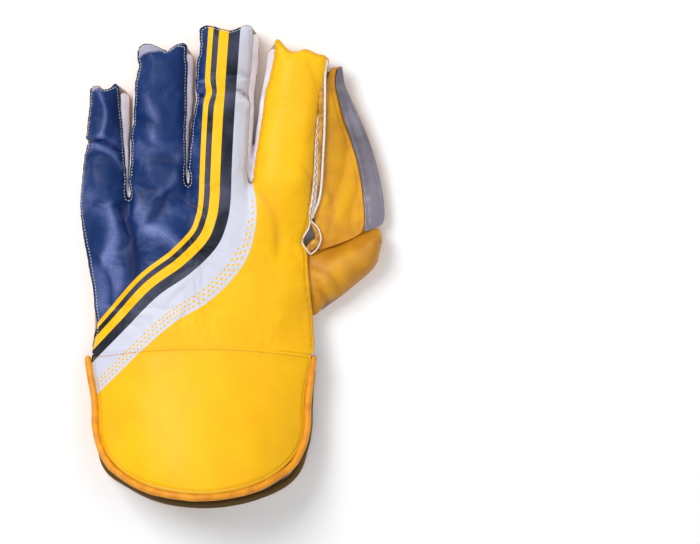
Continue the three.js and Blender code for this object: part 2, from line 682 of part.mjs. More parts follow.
add('cuff_palm_binding', flapBinding(palmFlap, clearance), orange, 0.6);

// The origin is under the middle of the glove, on the surface that it rests on.
const bounds = new THREE.Box3().setFromObject(glove);
const centre = bounds.getCenter(new THREE.Vector3());
glove.position.set(-centre.x, -centre.y, -bounds.min.z);

export default glove;
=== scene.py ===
import math
from collections import namedtuple

import bmesh
import bpy
import numpy as np
from mathutils import Matrix, Vector, noise
from mathutils.bvhtree import BVHTree
from mathutils.kdtree import KDTree


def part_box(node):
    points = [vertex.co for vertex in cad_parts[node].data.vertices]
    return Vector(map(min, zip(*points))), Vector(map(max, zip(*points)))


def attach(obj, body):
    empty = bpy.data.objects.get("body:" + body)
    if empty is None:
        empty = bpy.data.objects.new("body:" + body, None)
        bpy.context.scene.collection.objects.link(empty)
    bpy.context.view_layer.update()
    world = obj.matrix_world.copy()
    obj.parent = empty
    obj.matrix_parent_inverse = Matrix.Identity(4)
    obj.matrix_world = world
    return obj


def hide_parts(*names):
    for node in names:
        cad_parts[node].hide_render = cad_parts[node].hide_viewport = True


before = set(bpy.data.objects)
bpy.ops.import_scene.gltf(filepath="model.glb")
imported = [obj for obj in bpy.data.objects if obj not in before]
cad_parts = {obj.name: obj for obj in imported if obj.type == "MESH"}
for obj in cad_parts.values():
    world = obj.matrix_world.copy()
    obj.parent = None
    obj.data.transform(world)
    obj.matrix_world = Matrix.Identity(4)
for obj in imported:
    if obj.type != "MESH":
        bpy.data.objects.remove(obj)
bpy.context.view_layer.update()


# Back panel
# One padded leather piece covers the hand and the four finger backs, cut with three slits.
# It is printed with plain stripes, folded over at its edges and sewn down just inside them.
MM = 0.001
BACK_LEATHER = 2.3 * MM
SEAM_INSET = 2.3 * MM
CUT_EDGE = 0.5 * MM
SHARP_EDGE = math.radians(62)

# The middle of the curved wrist seam. Places on the glove are written as millimetres from it.
WRIST = np.array(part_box("back_panel")[0][:2]) + np.array([78.3, 0.6]) * MM
WRIST_ARCH = 6 * MM
HALF_WRIST = 74 * MM

# The line between the near-black and the silver stripe, from the middle fingertip to the cuff.
# spread: width of the stripes on its left as a share, silver: width of the silver on its right.
Route = namedtuple("Route", "x y spread silver")
STRIPE_ROUTE = [
    Route(27.4, 224.1, 1, 13.2),
    Route(25.9, 204.1, 1, 13.2),
    Route(22.4, 152.1, 1, 13.2),
    Route(20.8, 116.1, 1, 13.4),
    Route(20.2, 100.1, 1, 16.4),
    Route(17.8, 85.1, 1, 18.6),
    Route(10.9, 69.6, 0.98, 20.6),
    Route(-5.6, 53.1, 0.94, 21.6),
    Route(-27.1, 38.1, 0.88, 20.2),
    Route(-47.6, 17.6, 0.8, 17.6),
    Route(-66.6, -1.4, 0.74, 17.2),
    Route(-88.6, -22.9, 0.7, 17),
]
SILVER_UNIT = 20.0

# Where the leather buckles: from one end of a crease to the other. A depth below 0 is a ridge.
Fold = namedtuple("Fold", "x0 y0 x1 y1 depth width")
BACK_FOLDS = [
    Fold(-74, 138.5, -52.5, 133.5, 2.4, 1.5),
    Fold(-66, 134, -50, 121, -1.6, 3.2),
    Fold(-65.8, 172, -63.6, 143, -1.7, 4.0),
    Fold(-43.6, 152, -28, 148, 0.9, 4.0),
    Fold(-36, 168, -30, 140, -1.0, 6.5),
    Fold(-30, 128, -8.6, 116, 0.9, 4.5),
    Fold(-15, 128, -24, 104, -1.2, 6.0),
    Fold(2, 177.5, 34, 176.5, -1.8, 2.0),
    Fold(0.4, 168, 14, 172, 2.4, 1.8),
    Fold(14, 173, 33, 167, 1.9, 2.0),
    Fold(24, 166, 34, 160, -1.2, 2.2),
    Fold(48.4, 165, 60, 164, 0.7, 1.0),
    Fold(53.4, 161, 67.4, 159.5, 0.5, 1.2),
    Fold(71, 188, 72, 140, 1.0, 5.5),
    Fold(39.4, 104, 50, 66, 1.3, 8.0),
    Fold(60.5, 68, 66, 24, 0.6, 8.5),
    Fold(55, 56, 50, 20, -0.4, 8.0),
    Fold(-49.6, 92, -50.6, 30, 2.4, 6.5),
    Fold(-36, 84, -8, 62, -1.7, 8.0),
    Fold(-58, 96, -62, 60, -1.2, 5.0),
    Fold(-20.6, 104, -36, 84, 1.3, 4.5),
    Fold(-10, 100, 6, 84, 1.0, 4.0),
    Fold(-66, 62, -58, 34, 1.3, 4.0),
    Fold(-46, 112, -40, 94, -1.0, 4.5),
    Fold(68, 122, 73, 98, 0.9, 3.0),
]

# Where the leather is pulled out of its even outline: the way it goes, its reach and the spot or
# the stretch between two spots that is pulled.
Pull = namedtuple("Pull", "right up out reach x y x1 y1", defaults=(None, None))
BACK_PULLS = [
    Pull(2.4, 0, -1.5, 3.5, -72.8, 136),
    Pull(-0.8, 2.0, 0, 5.5, -70, 171),
    Pull(0, -0.6, -0.5, 4.0, -61, 175),
    Pull(0.8, 2.6, 0, 6.0, -56, 175),
    Pull(1.2, 0, 0, 4.0, -52.5, 166, -49.5, 116),
    Pull(0.8, 0, 0, 4.0, -50.5, 132, -50, 106),
    Pull(0.9, 0, 0, 4.0, -49.4, 112, -49.4, 102),
    Pull(1.0, 0, -0.6, 2.6, -40.5, 187.5),
    Pull(-1.6, 4.2, 0, 8.0, -33.5, 198),
    Pull(0, -1.4, -1.2, 4.0, -22, 198.5),
    Pull(1.0, 2.8, 0, 5.5, -12.5, 199.5),
    Pull(1.1, 0, 0, 4.0, -9.2, 188, -9.6, 116),
    Pull(-1.6, 0, 0, 4.5, -41, 176, -43.5, 114),
    Pull(-1.1, 0, 0, 4.0, -42, 142, -42, 106),
    Pull(-0.9, 0, 0, 4.0, -43, 112, -43, 102),
    Pull(0.8, 0, 0, 4.0, -10.8, 122, -10.8, 112),
    Pull(-1.0, 0, 0, 4.0, -4.4, 122, -4.4, 112),
    Pull(-1.7, 0, 0, 4.5, 0.5, 190, -4.5, 122),
    Pull(-1.4, 0, 0, 4.0, -3.6, 150, -3.6, 115),
    Pull(1.2, 0, -0.8, 4.5, -1.5, 166),
    Pull(-2.4, 3.0, 0, 8.0, 5.5, 213),
    Pull(0, -0.8, -1.0, 4.5, 20, 213),
    Pull(1.0, 2.4, 0, 6.0, 30, 214),
    Pull(1.2, 0, 0, 5.0, 33.5, 205, 32, 184),
    Pull(-0.6, 0, -0.5, 6.0, 34, 168),
    Pull(1.3, 0, 0, 3.5, 30.5, 166, 30.5, 113),
    Pull(-0.4, 3.4, 0, 4.5, 51, 203),
    Pull(0, -1.6, -1.6, 5.0, 60, 200),
    Pull(0.6, 3.6, 0, 7.0, 70, 196),
    Pull(1.4, 3.0, 0, 5.5, 80, 190),
    Pull(-1.2, 0, 0, 4.5, 45, 172, 35, 120),
    Pull(-1.2, 0, 0, 7.5, 82, 168, 78, 128),
    Pull(-1.6, 0.4, 0, 5.0, 76, 1),
    Pull(1.2, 0.4, 0, 5.0, -72, 1),
]
PLAN_PULLS = [pull._replace(out=0) for pull in BACK_PULLS]

# Leather cut this share too wide buckles between its seams, which hold it over a short reach.
# Towards the thumb the leather lies taut over its padding and keeps less of its buckling.
EXTRA_WIDTH = 0.01
HELD_REACH = 7 * MM
TAUT_SHARE = 0.75
TAUT_START = 4 * MM
TAUT_RUN = 24 * MM
# Lines past which the leather rolls over the fingertips, where a pale highlight is painted on the roll.
TIP_ROLLS = [
    [(-70, 170.4), (-65.1, 173), (-60.3, 174.4), (-52.5, 176)],
    [(-40, 191.8), (-36.5, 194.8), (-32.8, 196.2), (-24.7, 197), (-21.5, 197)],
    [(-19.8, 197.4), (-14.5, 200.6), (-10.1, 201.6), (-7.2, 199)],
]


def applied(obj):
    """Applies the modifiers of a piece."""
    graph = bpy.context.evaluated_depsgraph_get()
    mesh = bpy.data.meshes.new_from_object(obj.evaluated_get(graph))
    obj.modifiers.clear()
    obj.data = mesh


def piece(name, source):
    """A new object in the scene from a mesh or a bmesh."""
    mesh = source
    if isinstance(source, bmesh.types.BMesh):
        mesh = bpy.data.meshes.new(name)
        source.to_mesh(mesh)
        source.free()
    obj = bpy.data.objects.new(name, mesh)
    bpy.context.scene.collection.objects.link(obj)
    return obj


def merged(node):
    """A copy of a CAD node with its corners joined and its quads made again."""
    bm = bmesh.new()
    bm.from_mesh(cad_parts[node].data)
    bmesh.ops.remove_doubles(bm, verts=bm.verts, dist=2e-6)
    bmesh.ops.join_triangles(
        bm,
        faces=bm.faces,
        angle_face_threshold=math.radians(45),
        angle_shape_threshold=math.radians(75),
    )
    return bm


def outer_face(node, up):
    """The upper or lower sheet of a wall, without its rim and its other sheet."""
    bm = merged(node)
    heights = {face: face.calc_center_median().z for face in bm.faces}
    start = max(heights, key=heights.get) if up else min(heights, key=heights.get)
    found = {start}
    waiting = [start]
    while waiting:
        for edge in waiting.pop().edges:
            if edge.calc_face_angle(0) < SHARP_EDGE:
                fresh = [face for face in edge.link_faces if face not in found]
                found.update(fresh)
                waiting.extend(fresh)
    spare = [face for face in bm.faces if face not in found]
    bmesh.ops.delete(bm, geom=spare, context="FACES")
    return bm


def hand_in(obj, slot, *nodes):
    """A finished piece rides on the one body, in place of its nodes; its slot is not used."""
    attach(obj, "root")
    if nodes:
        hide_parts(*nodes)


def smooth(value):
    """An even step from 0 to 1."""
    share = np.clip(value, 0, 1)
    return share * share * (3 - 2 * share)


def dragged(spots, pulls):
    """Points moved together with the stretches that are pulled."""
    total = np.zeros((len(spots), 3))
    for pull in pulls:
        near = np.array([pull.x, pull.y])
        far = near if pull.x1 is None else np.array([pull.x1, pull.y1])
        gap = (np.asarray(spots)[:, :2] - WRIST) / MM - near
        run = far - near
        share = np.clip(gap @ run / max(run @ run, 1e-9), 0, 1)
        away = np.linalg.norm(gap - share[:, None] * run, axis=1) / pull.reach
        total += np.exp(-(away**2))[:, None] * np.array([pull.right, pull.up, pull.out]) * MM
    return spots + total


class Sheet:
    """A finely divided sheet of leather that is shaped before it gets its thickness."""

    def __init__(self, name, bm, levels):
        self.obj = piece(name, bm)
        divide = self.obj.modifiers.new("divide", "SUBSURF")
        divide.levels = divide.render_levels = levels
        applied(self.obj)
        self.read()

    def read(self):
        mesh = self.obj.data
        self.at = np.empty(len(mesh.vertices) * 3)
        mesh.vertices.foreach_get("co", self.at)
        self.at = self.at.reshape(-1, 3)
        self.out = np.empty(len(mesh.vertices) * 3)
        mesh.vertices.foreach_get("normal", self.out)
        self.out = self.out.reshape(-1, 3)

    def write(self):
        self.obj.data.vertices.foreach_set("co", self.at.ravel())
        self.obj.data.update()
        self.read()

    def press(self, amount):
        """Moves the points along the surface's normals."""
        self.at += self.out * np.asarray(amount)[:, None]
        self.write()

    def rims(self):
        """The sheet's edges as closed rings of vertex numbers."""
        bm = bmesh.new()
        bm.from_mesh(self.obj.data)
        left = {vert.index: vert for vert in bm.verts if vert.is_boundary}
        rings = []
        while left:
            ring = [min(left)]
            vert = left.pop(ring[0])
            while vert:
                near = [edge.other_vert(vert) for edge in vert.link_edges if edge.is_boundary]
                vert = next((other for other in near if other.index in left), None)
                if vert:
                    ring.append(vert.index)
                    del left[vert.index]
            rings.append(ring)
        bm.free()
        return rings

    def measure(self):
        """Distance of each point from the sheet's edge, and how far along the edge that is."""
        ring = max(self.rims(), key=len)
        line = self.at[ring]
        steps = np.linalg.norm(np.diff(line, axis=0), axis=1)
        run = np.concatenate([[0], np.cumsum(steps)])
        tree = KDTree(len(line))
        for number, spot in enumerate(line):
            tree.insert(spot, number)
        tree.balance()
        found = [tree.find(spot) for spot in self.at]
        self.ring = ring
        self.rim = line
        self.inside = np.array([hit[2] for hit in found])
        self.along = run[[hit[1] for hit in found]]

    def waver(self, size, seed):
        """Even noise from -1 to 1 with features of a size."""
        shift = Vector((seed * 7.3, seed * 3.1, seed))
        return np.array([noise.noise(Vector(spot) / size + shift) for spot in self.at])

    def attribute(self, name, values):
        layer = self.obj.data.attributes.new(name, "FLOAT", "POINT")
        layer.data.foreach_set("value", np.asarray(values, np.float32))

    def buckle(self, folds):
        """Depths of creases with a sharp valley, full lips beside it and soft ends."""
        total = np.zeros(len(self.at))
        for fold in folds:
            start = WRIST + np.array([fold.x0, fold.y0]) * MM
            run = WRIST + np.array([fold.x1, fold.y1]) * MM - start
            length = np.linalg.norm(run)
            run /= length
            gap = self.at[:, :2] - start
            ahead = gap @ run
            bend = 0.12 * length * np.sin(np.clip(ahead / length, 0, 1) * math.pi)
            off = np.abs(gap[:, 0] * run[1] - gap[:, 1] * run[0] + bend) / (fold.width * MM)
            ends = smooth(1 + ahead / (length * 0.2)) * smooth(1 + (length - ahead) / (length * 0.2))
            shape = 0.75 * np.exp(-((off / 2.6) ** 2)) - 1.3 * np.exp(-(off**1.4))
            total += fold.depth * MM * ends * shape
        return total

    def averaged(self, values):
        """Rows of numbers, each as the average of its neighbours on the sheet."""
        edges = np.empty(len(self.obj.data.edges) * 2, int)
        self.obj.data.edges.foreach_get("vertices", edges)
        near, far = edges.reshape(-1, 2).T
        count = np.bincount(edges, minlength=len(values))
        return np.column_stack([
            (np.bincount(near, row[far], len(row)) + np.bincount(far, row[near], len(row))) / count
            for row in values.T
        ])

    def relax(self, hold, rounds):
        """Evens the points out between their neighbours, as strongly as hold says."""
        for _ in range(rounds):
            self.at += hold[:, None] * (self.averaged(self.at) - self.at)
        self.write()

    def sew(self, inset, depth, pucker, pitch, seed, joined=None):
        """Pulls the sheet down along a line of stitches, with small gathers beside it."""
        self.measure()
        line = np.exp(-(((self.inside - inset) / (0.9 * MM)) ** 2))
        edge = smooth(1 - self.inside / inset) * 0.5
        beat = np.sin(self.along / pitch * 2 * math.pi + 2.5 * self.waver(12 * MM, seed))
        gather = beat * np.exp(-(((self.inside - inset) / (3.2 * MM)) ** 2))
        strength = 0.5 + 0.5 * self.waver(18 * MM, seed + 1)
        free = 1 if joined is None else smooth(joined / (7 * MM))
        self.press((-depth * (line + edge) + pucker * gather * strength) * free)

    def settle(self, frames):
        """Lets the leather, cut a little too wide, buckle over its padding between held seams."""
        held = self.obj.vertex_groups.new(name="held")
        weights = np.clip(1.05 - smooth((self.inside - SEAM_INSET) / HELD_REACH), 0, 1)
        for step in range(11):
            found = np.flatnonzero(np.round(weights * 10) == step)
            held.add(found.tolist(), step / 10, "REPLACE")
        cloth = self.obj.modifiers.new("cloth", "CLOTH")
        cloth.settings.vertex_group_mass = "held"
        cloth.settings.quality = 5
        cloth.settings.mass = 0.3
        cloth.settings.tension_stiffness = 40
        cloth.settings.compression_stiffness = 40
        cloth.settings.shear_stiffness = 20
        cloth.settings.bending_stiffness = 16
        cloth.settings.shrink_min = -EXTRA_WIDTH
        cloth.settings.effector_weights.gravity = 0
        cloth.collision_settings.use_collision = False
        cloth.point_cache.frame_end = frames
        for number in range(1, frames + 1):
            bpy.context.scene.frame_set(number)
        applied(self.obj)
        bpy.context.scene.frame_set(1)
        before = self.at.copy()
        self.read()
        taut = TAUT_SHARE * smooth((before[:, 0] - WRIST[0] - TAUT_START) / TAUT_RUN)
        self.at += (before - self.at) * taut[:, None]
        self.write()

    def solid(self, thickness, bevel):
        """Gives the sheet its thickness and rounds its cut edges."""
        wall = self.obj.modifiers.new("wall", "SOLIDIFY")
        wall.thickness = thickness
        wall.offset = -1
        edge = self.obj.modifiers.new("edge", "BEVEL")
        edge.width = bevel
        edge.segments = 2
        edge.angle_limit = math.radians(55)
        applied(self.obj)
        self.obj.data.shade_smooth()


def seam_line(sheet, inset):
    """A line on a sheet, a distance inside its edge, with the surface's normals along it."""
    mesh = sheet.obj.data
    faces = [polygon.vertices[:] for polygon in mesh.polygons]
    tree = BVHTree.FromPolygons([Vector(spot) for spot in sheet.at], faces)
    rim = sheet.at[sheet.ring]
    inward = sheet.averaged(sheet.at)[sheet.ring] - rim
    line = []
    normals = []
    reach = 4
    for number in range(0, len(rim), 2):
        spot = Vector(rim[number])
        ahead = Vector(rim[(number + reach) % len(rim)] - rim[number - reach]).normalized()
        near, up, _, _ = tree.find_nearest(spot)
        side = up.cross(ahead).normalized() * inset
        if side.dot(Vector(inward[number])) < 0:
            side = -side
        found, normal, _, _ = tree.find_nearest(spot + side)
        if (found - spot).length > 0.6 * inset:
            line.append(found)
            normals.append(normal)
    return np.array(line), np.array(normals)


def curve_through(points, steps):
    """Points on a smooth curve through a few rows of numbers."""
    rows = np.array(points, float)
    rows = np.vstack([2 * rows[0] - rows[1], rows, 2 * rows[-1] - rows[-2]])
    found = []
    for place in range(1, len(rows) - 2):
        a, b, c, d = rows[place - 1 : place + 3]
        for share in np.linspace(0, 1, steps, endpoint=False):
            found.append(
                0.5
                * (
                    2 * b
                    + (c - a) * share
                    + (2 * a - 5 * b + 4 * c - d) * share**2
                    + (3 * b - 3 * c + d - a) * share**3
                )
            )
    found.append(rows[-2])
    return np.array(found)


def past_wrist(points):
    """How far points lie above the curved wrist seam."""
    across = (np.asarray(points)[:, :2] - WRIST) / HALF_WRIST
    return across[:, 1] * HALF_WRIST - WRIST_ARCH * (1 - across[:, 0] ** 2)


def stripe_place(points, route):
    """Signed distance from a stripe route, in millimetres at its full width, and the way run."""
    line = curve_through(route, 24)
    spots = (np.asarray(points)[:, :2] - WRIST) / MM
    best = np.full(len(spots), 1e9)
    value = np.zeros(len(spots))
    way = np.zeros(len(spots))
    gone = 0
    for near, far in zip(line[:-1], line[1:]):
        run = far[:2] - near[:2]
        length = np.linalg.norm(run)
        run = run / length
        gap = spots - near[:2]
        ahead = np.clip(gap @ run, 0, length)
        away = np.linalg.norm(gap - ahead[:, None] * run, axis=1)
        side = np.sign(gap[:, 1] * run[0] - gap[:, 0] * run[1])
        share = ahead / length
        spread = near[2] + (far[2] - near[2]) * share
        silver = near[3] + (far[3] - near[3]) * share
        scaled = np.where(side < 0, -away / spread, away / silver * SILVER_UNIT)
        closer = away < best
        best = np.where(closer, away, best)
        value = np.where(closer, scaled, value)
        way = np.where(closer, gone + ahead, way)
        gone += length
    return value, way


class Value:
    """A number in a material, whose sums become Math nodes."""

    def __init__(self, finish, socket):
        self.finish = finish
        self.socket = socket

    def maths(self, operation, first, second):
        node = self.finish.node("Math", {"operation": operation}, {0: first, 1: second})
        return Value(self.finish, node.outputs[0])

    def __add__(self, other):
        return self.maths("ADD", self, other)

    def __sub__(self, other):
        return self.maths("SUBTRACT", self, other)

    def __rsub__(self, other):
        return self.maths("SUBTRACT", other, self)

    def __mul__(self, other):
        return self.maths("MULTIPLY", self, other)

    __radd__ = __add__
    __rmul__ = __mul__

    def above(self, limit):
        return self.maths("GREATER_THAN", self, limit)

    def below(self, limit):
        return self.maths("LESS_THAN", self, limit)

    def between(self, low, high):
        """1 from the low limit to the high one, and 0 outside."""
        return self.above(low) * self.below(high)

    def centred(self):
        """The part after the point, from -0.5 to 0.5."""
        return self.maths("FRACT", self, 0) - 0.5

    def smooth(self, low, high):
        """0 below the low limit, rising to 1 at the high one."""
        settings = {"interpolation_type": "SMOOTHSTEP"}
        node = self.finish.node("MapRange", settings, {0: self, 1: low, 2: high})
        return Value(self.finish, node.outputs[0])


def shade(red, green, blue):
    """A colour from its screen values, 0 to 255."""
    parts = []
    for part in (red, green, blue):
        part /= 255
        parts.append(part / 12.92 if part <= 0.04045 else ((part + 0.055) / 1.055) ** 2.4)
    return (*parts, 1)


class Finish:
    """A material with one surface shader."""

    def __init__(self, name, **uniform):
        self.material = bpy.data.materials.new(name)
        self.material.use_nodes = True
        self.tree = self.material.node_tree
        self.shader = self.tree.nodes["Principled BSDF"]
        for socket, value in uniform.items():
            self.shader.inputs[socket.replace("_", " ")].default_value = value
        self.place = self.node("TexCoord").outputs["Object"]

    def node(self, kind, settings=None, inputs=None):
        made = self.tree.nodes.new("ShaderNode" + kind)
        for key, value in (settings or {}).items():
            setattr(made, key, value)
        for key, value in (inputs or {}).items():
            self.join(made.inputs[key], value)
        return made

    def join(self, socket, value):
        value = getattr(value, "socket", value)
        if isinstance(value, bpy.types.NodeSocket):
            self.tree.links.new(value, socket)
        else:
            socket.default_value = value

    def feed(self, name, value):
        self.join(self.shader.inputs[name], value)

    def reads(self, name):
        """A value stored on the piece's points."""
        made = self.node("Attribute", {"attribute_name": name})
        return Value(self, made.outputs["Fac"])

    def noise(self, size, detail=2.0, stretch=(1, 1, 1)):
        """Soft noise from 0 to 1 with features of a size in metres."""
        turned = self.node("Mapping", {}, {"Vector": self.place, "Scale": stretch})
        inputs = {"Vector": turned.outputs[0], "Scale": 1 / size, "Detail": detail}
        return Value(self, self.node("TexNoise", {}, inputs).outputs[0])

    def cells(self, size):
        """Pebbled grain: 0 at the lines between the pebbles."""
        settings = {"feature": "DISTANCE_TO_EDGE"}
        inputs = {"Vector": self.place, "Scale": 1 / size}
        return Value(self, self.node("TexVoronoi", settings, inputs).outputs[0])

    def mix(self, amount, first, second):
        settings = {"data_type": "RGBA"}
        made = self.node("Mix", settings, {0: amount, 6: first, 7: second})
        return made.outputs[2]

    def relief(self, height, distance, strength=1.0):
        """Small bumps of a height in metres."""
        inputs = {"Height": height, "Distance": distance, "Strength": strength}
        self.feed("Normal", self.node("Bump", {}, inputs).outputs[0])

    def on(self, *objs):
        for obj in objs:
            obj.data.materials.clear()
            obj.data.materials.append(self.material)


YELLOW = shade(250, 190, 0)
DEEP_YELLOW = shade(240, 170, 0)
# Painted shade: the yellow in its hollows.
SHADED_OCHRE = shade(186, 122, 20)
NAVY = shade(0, 40, 94)
# Painted shade in the navy's hollows; it also colours the dark edges.
DARK_NAVY = shade(2, 28, 78)
# Painted highlight on the navy.
HIGHLIGHT_BLUE = shade(112, 126, 184)
NEAR_BLACK = shade(12, 17, 32)
# Painted highlight on the black stripes, also used for paler random patches.
HIGHLIGHT_AND_PATCH_BLACK = shade(82, 86, 112)
SILVER = shade(202, 204, 220)
# Painted highlight on the silver.
SILVER_HIGHLIGHT = shade(226, 228, 238)


def leather_grain(finish, roughness, gloss_spread=0.12):
    """Pebbled grain, fine creases and an uneven sheen."""
    grain = finish.cells(1.0 * MM).smooth(0, 0.12)
    crease = finish.noise(9 * MM, 4, (1, 2.4, 1))
    finish.relief(grain * 0.3 + crease * 1.2, 0.3 * MM, 0.5)
    finish.feed("Roughness", finish.noise(22 * MM, 3) * gloss_spread + (roughness - gloss_spread / 2))


# The plain stripes left of the silver one, as limits across them in millimetres, and the rows of
# dots printed on it: their place across it and where they start along it.
DARK_STRIPES = [(-17.5, -13.7), (-7.4, 0)]
BRIGHT_STRIPES = [(-20.8, -17.5), (-13.7, -7.4)]
DotRow = namedtuple("DotRow", "band start shift")
DOT_ROWS = [DotRow(17.4, 122, 0), DotRow(15.0, 134, 0.5), DotRow(12.6, 150, 0)]
DOT_PITCH = 3.3
DOT_RADIUS = 0.78


def printed_leather():
    """Satin leather with the print of plain stripes, with painted highlights on its ridges and in soft
    patches, and painted shade in its hollows.
    """
    finish = Finish("printed leather", Specular_IOR_Level=0.24)
    band = finish.reads("band")
    way = finish.reads("way")
    relief = finish.reads("relief")
    # From the folds' depths: the first value paints highlights on ridges, the second paints shade in
    # hollows.
    high = relief.smooth(-0.1, 1.7)
    low = relief.smooth(-0.1, -1.2)
    patch = finish.noise(30 * MM, 3)
    fleck = finish.noise(0.55 * MM, 3)
    # Painted highlight: paler on ridges and in broad soft patches, speckled by the grain; pale lilac on
    # the navy and grey on the black stripes.
    painted_highlight = high + patch.smooth(0.54, 0.74) * 0.55
    navy = finish.mix(patch.smooth(0.4, 0.6) * 0.6, NAVY, shade(10, 48, 108))
    # Painted shade in the navy's hollows.
    navy = finish.mix(low, navy, DARK_NAVY)
    navy = finish.mix(painted_highlight * fleck.smooth(0.1, 0.75), navy, HIGHLIGHT_BLUE)
    dark = finish.mix(painted_highlight * fleck + patch.smooth(0.4, 0.6) * 0.4, NEAR_BLACK, HIGHLIGHT_AND_PATCH_BLACK)
    # Silver with painted shade in its hollows and a painted highlight on its ridges.
    silver = finish.mix(high, finish.mix(low, SILVER, shade(160, 160, 180)), SILVER_HIGHLIGHT)
    yellow = finish.mix(patch.smooth(0.3, 0.75) * 0.5, YELLOW, DEEP_YELLOW)
    # Painted shade in the yellow's hollows.
    yellow = finish.mix(low * 0.6, yellow, SHADED_OCHRE)
    colour = finish.mix(band.above(SILVER_UNIT), finish.mix(band.above(0), navy, silver), yellow)
    for stripe in DARK_STRIPES:
        colour = finish.mix(band.between(*stripe), colour, dark)
    bright = band.between(*BRIGHT_STRIPES[0]) + band.between(*BRIGHT_STRIPES[1])
    for row in DOT_ROWS:
        along = (way * (1 / DOT_PITCH) + row.shift).centred() * DOT_PITCH
        across = band - row.band
        spot = (along * along + across * across).below(DOT_RADIUS**2)
        bright = bright + spot * way.above(row.start)
    colour = finish.mix(bright, colour, YELLOW)
    tip_highlight = finish.reads("tip_highlight")
    # Painted highlight: a pale grey-lilac crescent where the leather rolls over the fingertips.
    colour = finish.mix(tip_highlight * band.below(SILVER_UNIT) * 0.75, colour, shade(178, 176, 194))
    edge = finish.reads("inside").smooth(0.0019, 0.0008)
    colour = finish.mix(edge * band.below(0) * 0.8, colour, DARK_NAVY)
    colour = finish.mix(edge * band.above(0) * 0.4, colour, shade(150, 110, 50))
    finish.feed("Base Color", colour)
    leather_grain(finish, 0.4)
    return finish


def printed(sheet, route, depths, mirrored=False):
    """Stores where the print, the painted highlights and shade, and the edges of a sheet lie. A mirrored
    print has no dots.
    """
    band, way = stripe_place(dragged(sheet.at, PRINT_PULLS), route)
    sheet.attribute("band", -band if mirrored else band)
    sheet.attribute("way", way * 0 if mirrored else way)
    sheet.attribute("relief", depths / MM)
    joined = np.abs(past_wrist(sheet.at)) < 4 * MM
    sheet.attribute("inside", np.where(joined, 2 * SEAM_INSET, sheet.inside))


PRINT = printed_leather()
PRINT_PULLS = [Pull(-2.0, 0, 0, 5.5, 7.6, 170.5)]

# Below the crotches of the fingers the hand is one even crown, without a ridge for each finger.
CROTCH_HEIGHT = 114 * MM
CROTCH_RUN = 9 * MM

back = Sheet("back_leather", outer_face("back_panel", True), 3)
back.measure()
hand = smooth((WRIST[1] + CROTCH_HEIGHT - back.at[:, 1]) / CROTCH_RUN)
back.relax(0.9 * hand * smooth(back.inside / (4 * MM)), 60)
back.at = dragged(back.at, BACK_PULLS)
back.write()
folded = back.buckle(BACK_FOLDS)
back.press(folded)

# The leather is fuller where it rolls over the fingertips.
spots = (back.at[:, :2] - WRIST) / MM
rolled = np.zeros(len(spots))
for line in TIP_ROLLS:
    level = np.interp(spots[:, 0], *zip(*line), left=999, right=999)
    rolled += smooth((spots[:, 1] - level) / 1.4 + 0.3)
back.press(0.9 * MM * rolled)
back.sew(SEAM_INSET, 0.6 * MM, 0.35 * MM, 6.5 * MM, 1, past_wrist(back.at))
back.settle(18)
swell = back.waver(22 * MM, 4)
back.press(0.8 * MM * swell + 0.15 * MM * back.waver(5 * MM, 5))
printed(back, STRIPE_ROUTE, folded + 0.3 * MM * swell)
# The rolls over the fingertips also carry a painted pale highlight.
back.attribute("tip_highlight", rolled)
back_seam = seam_line(back, SEAM_INSET)
back.solid(BACK_LEATHER, CUT_EDGE)
PRINT.on(back.obj)
hand_in(back.obj, "printed_leather", "back_panel")


# Stitches
# A lockstitch of thick thread runs round every panel: pale on the dark leather and tan on the
# yellow. Each stitch is a small bead of thread, half sunk in its groove.
STITCH_PITCH = 2.1 * MM
STITCH_LENGTH = 1.45 * MM
STITCH_WIDTH = 0.62 * MM


def scattered(name, stamp, places):
    """One piece made of a small mesh, set at each of many places."""
    total = bmesh.new()
    mesh = bpy.data.meshes.new("stamp")
    stamp.to_mesh(mesh)
    stamp.free()
    for place in places:
        mesh.transform(place)
        total.from_mesh(mesh)
        mesh.transform(place.inverted())
    bpy.data.meshes.remove(mesh)
    obj = piece(name, total)
    obj.data.shade_smooth()
    return obj


def stitches_on(line, normals, pitch=STITCH_PITCH):
    """Places of stitches along a line on a surface."""
    steps = np.linalg.norm(np.diff(line, axis=0), axis=1)
    run = np.concatenate([[0], np.cumsum(steps)])
    places = []
    for number in range(int(run[-1] / pitch)):
        spots = [
            Vector([np.interp((number + share) * pitch, run, line[:, axis]) for axis in range(3)])
            for share in (0.3, 0.7)
        ]
        near = np.searchsorted(run, (number + 0.5) * pitch)
        up = Vector(normals[min(near, len(normals) - 1)])
        ahead = spots[1] - spots[0]
        if ahead.length < 0.1 * pitch or ahead.length > pitch:
            continue
        ahead.normalize()
        across = up.cross(ahead).normalized()
        up = ahead.cross(across)
        turned = Matrix((ahead, across, up)).transposed().to_4x4()
        places.append(Matrix.Translation((spots[0] + spots[1]) / 2) @ turned)
    return places


def thread_bead():
    """One stitch: a small long bead that lies along X."""
    bead = bmesh.new()
    bmesh.ops.create_uvsphere(bead, u_segments=6, v_segments=4, radius=0.5)
    sizes = (STITCH_WIDTH, STITCH_WIDTH, STITCH_LENGTH)
    bmesh.ops.scale(bead, verts=bead.verts, vec=sizes)
    turn = Matrix.Rotation(math.radians(90), 3, "Y")
    bmesh.ops.rotate(bead, verts=bead.verts, cent=(0, 0, 0), matrix=turn)
    return bead


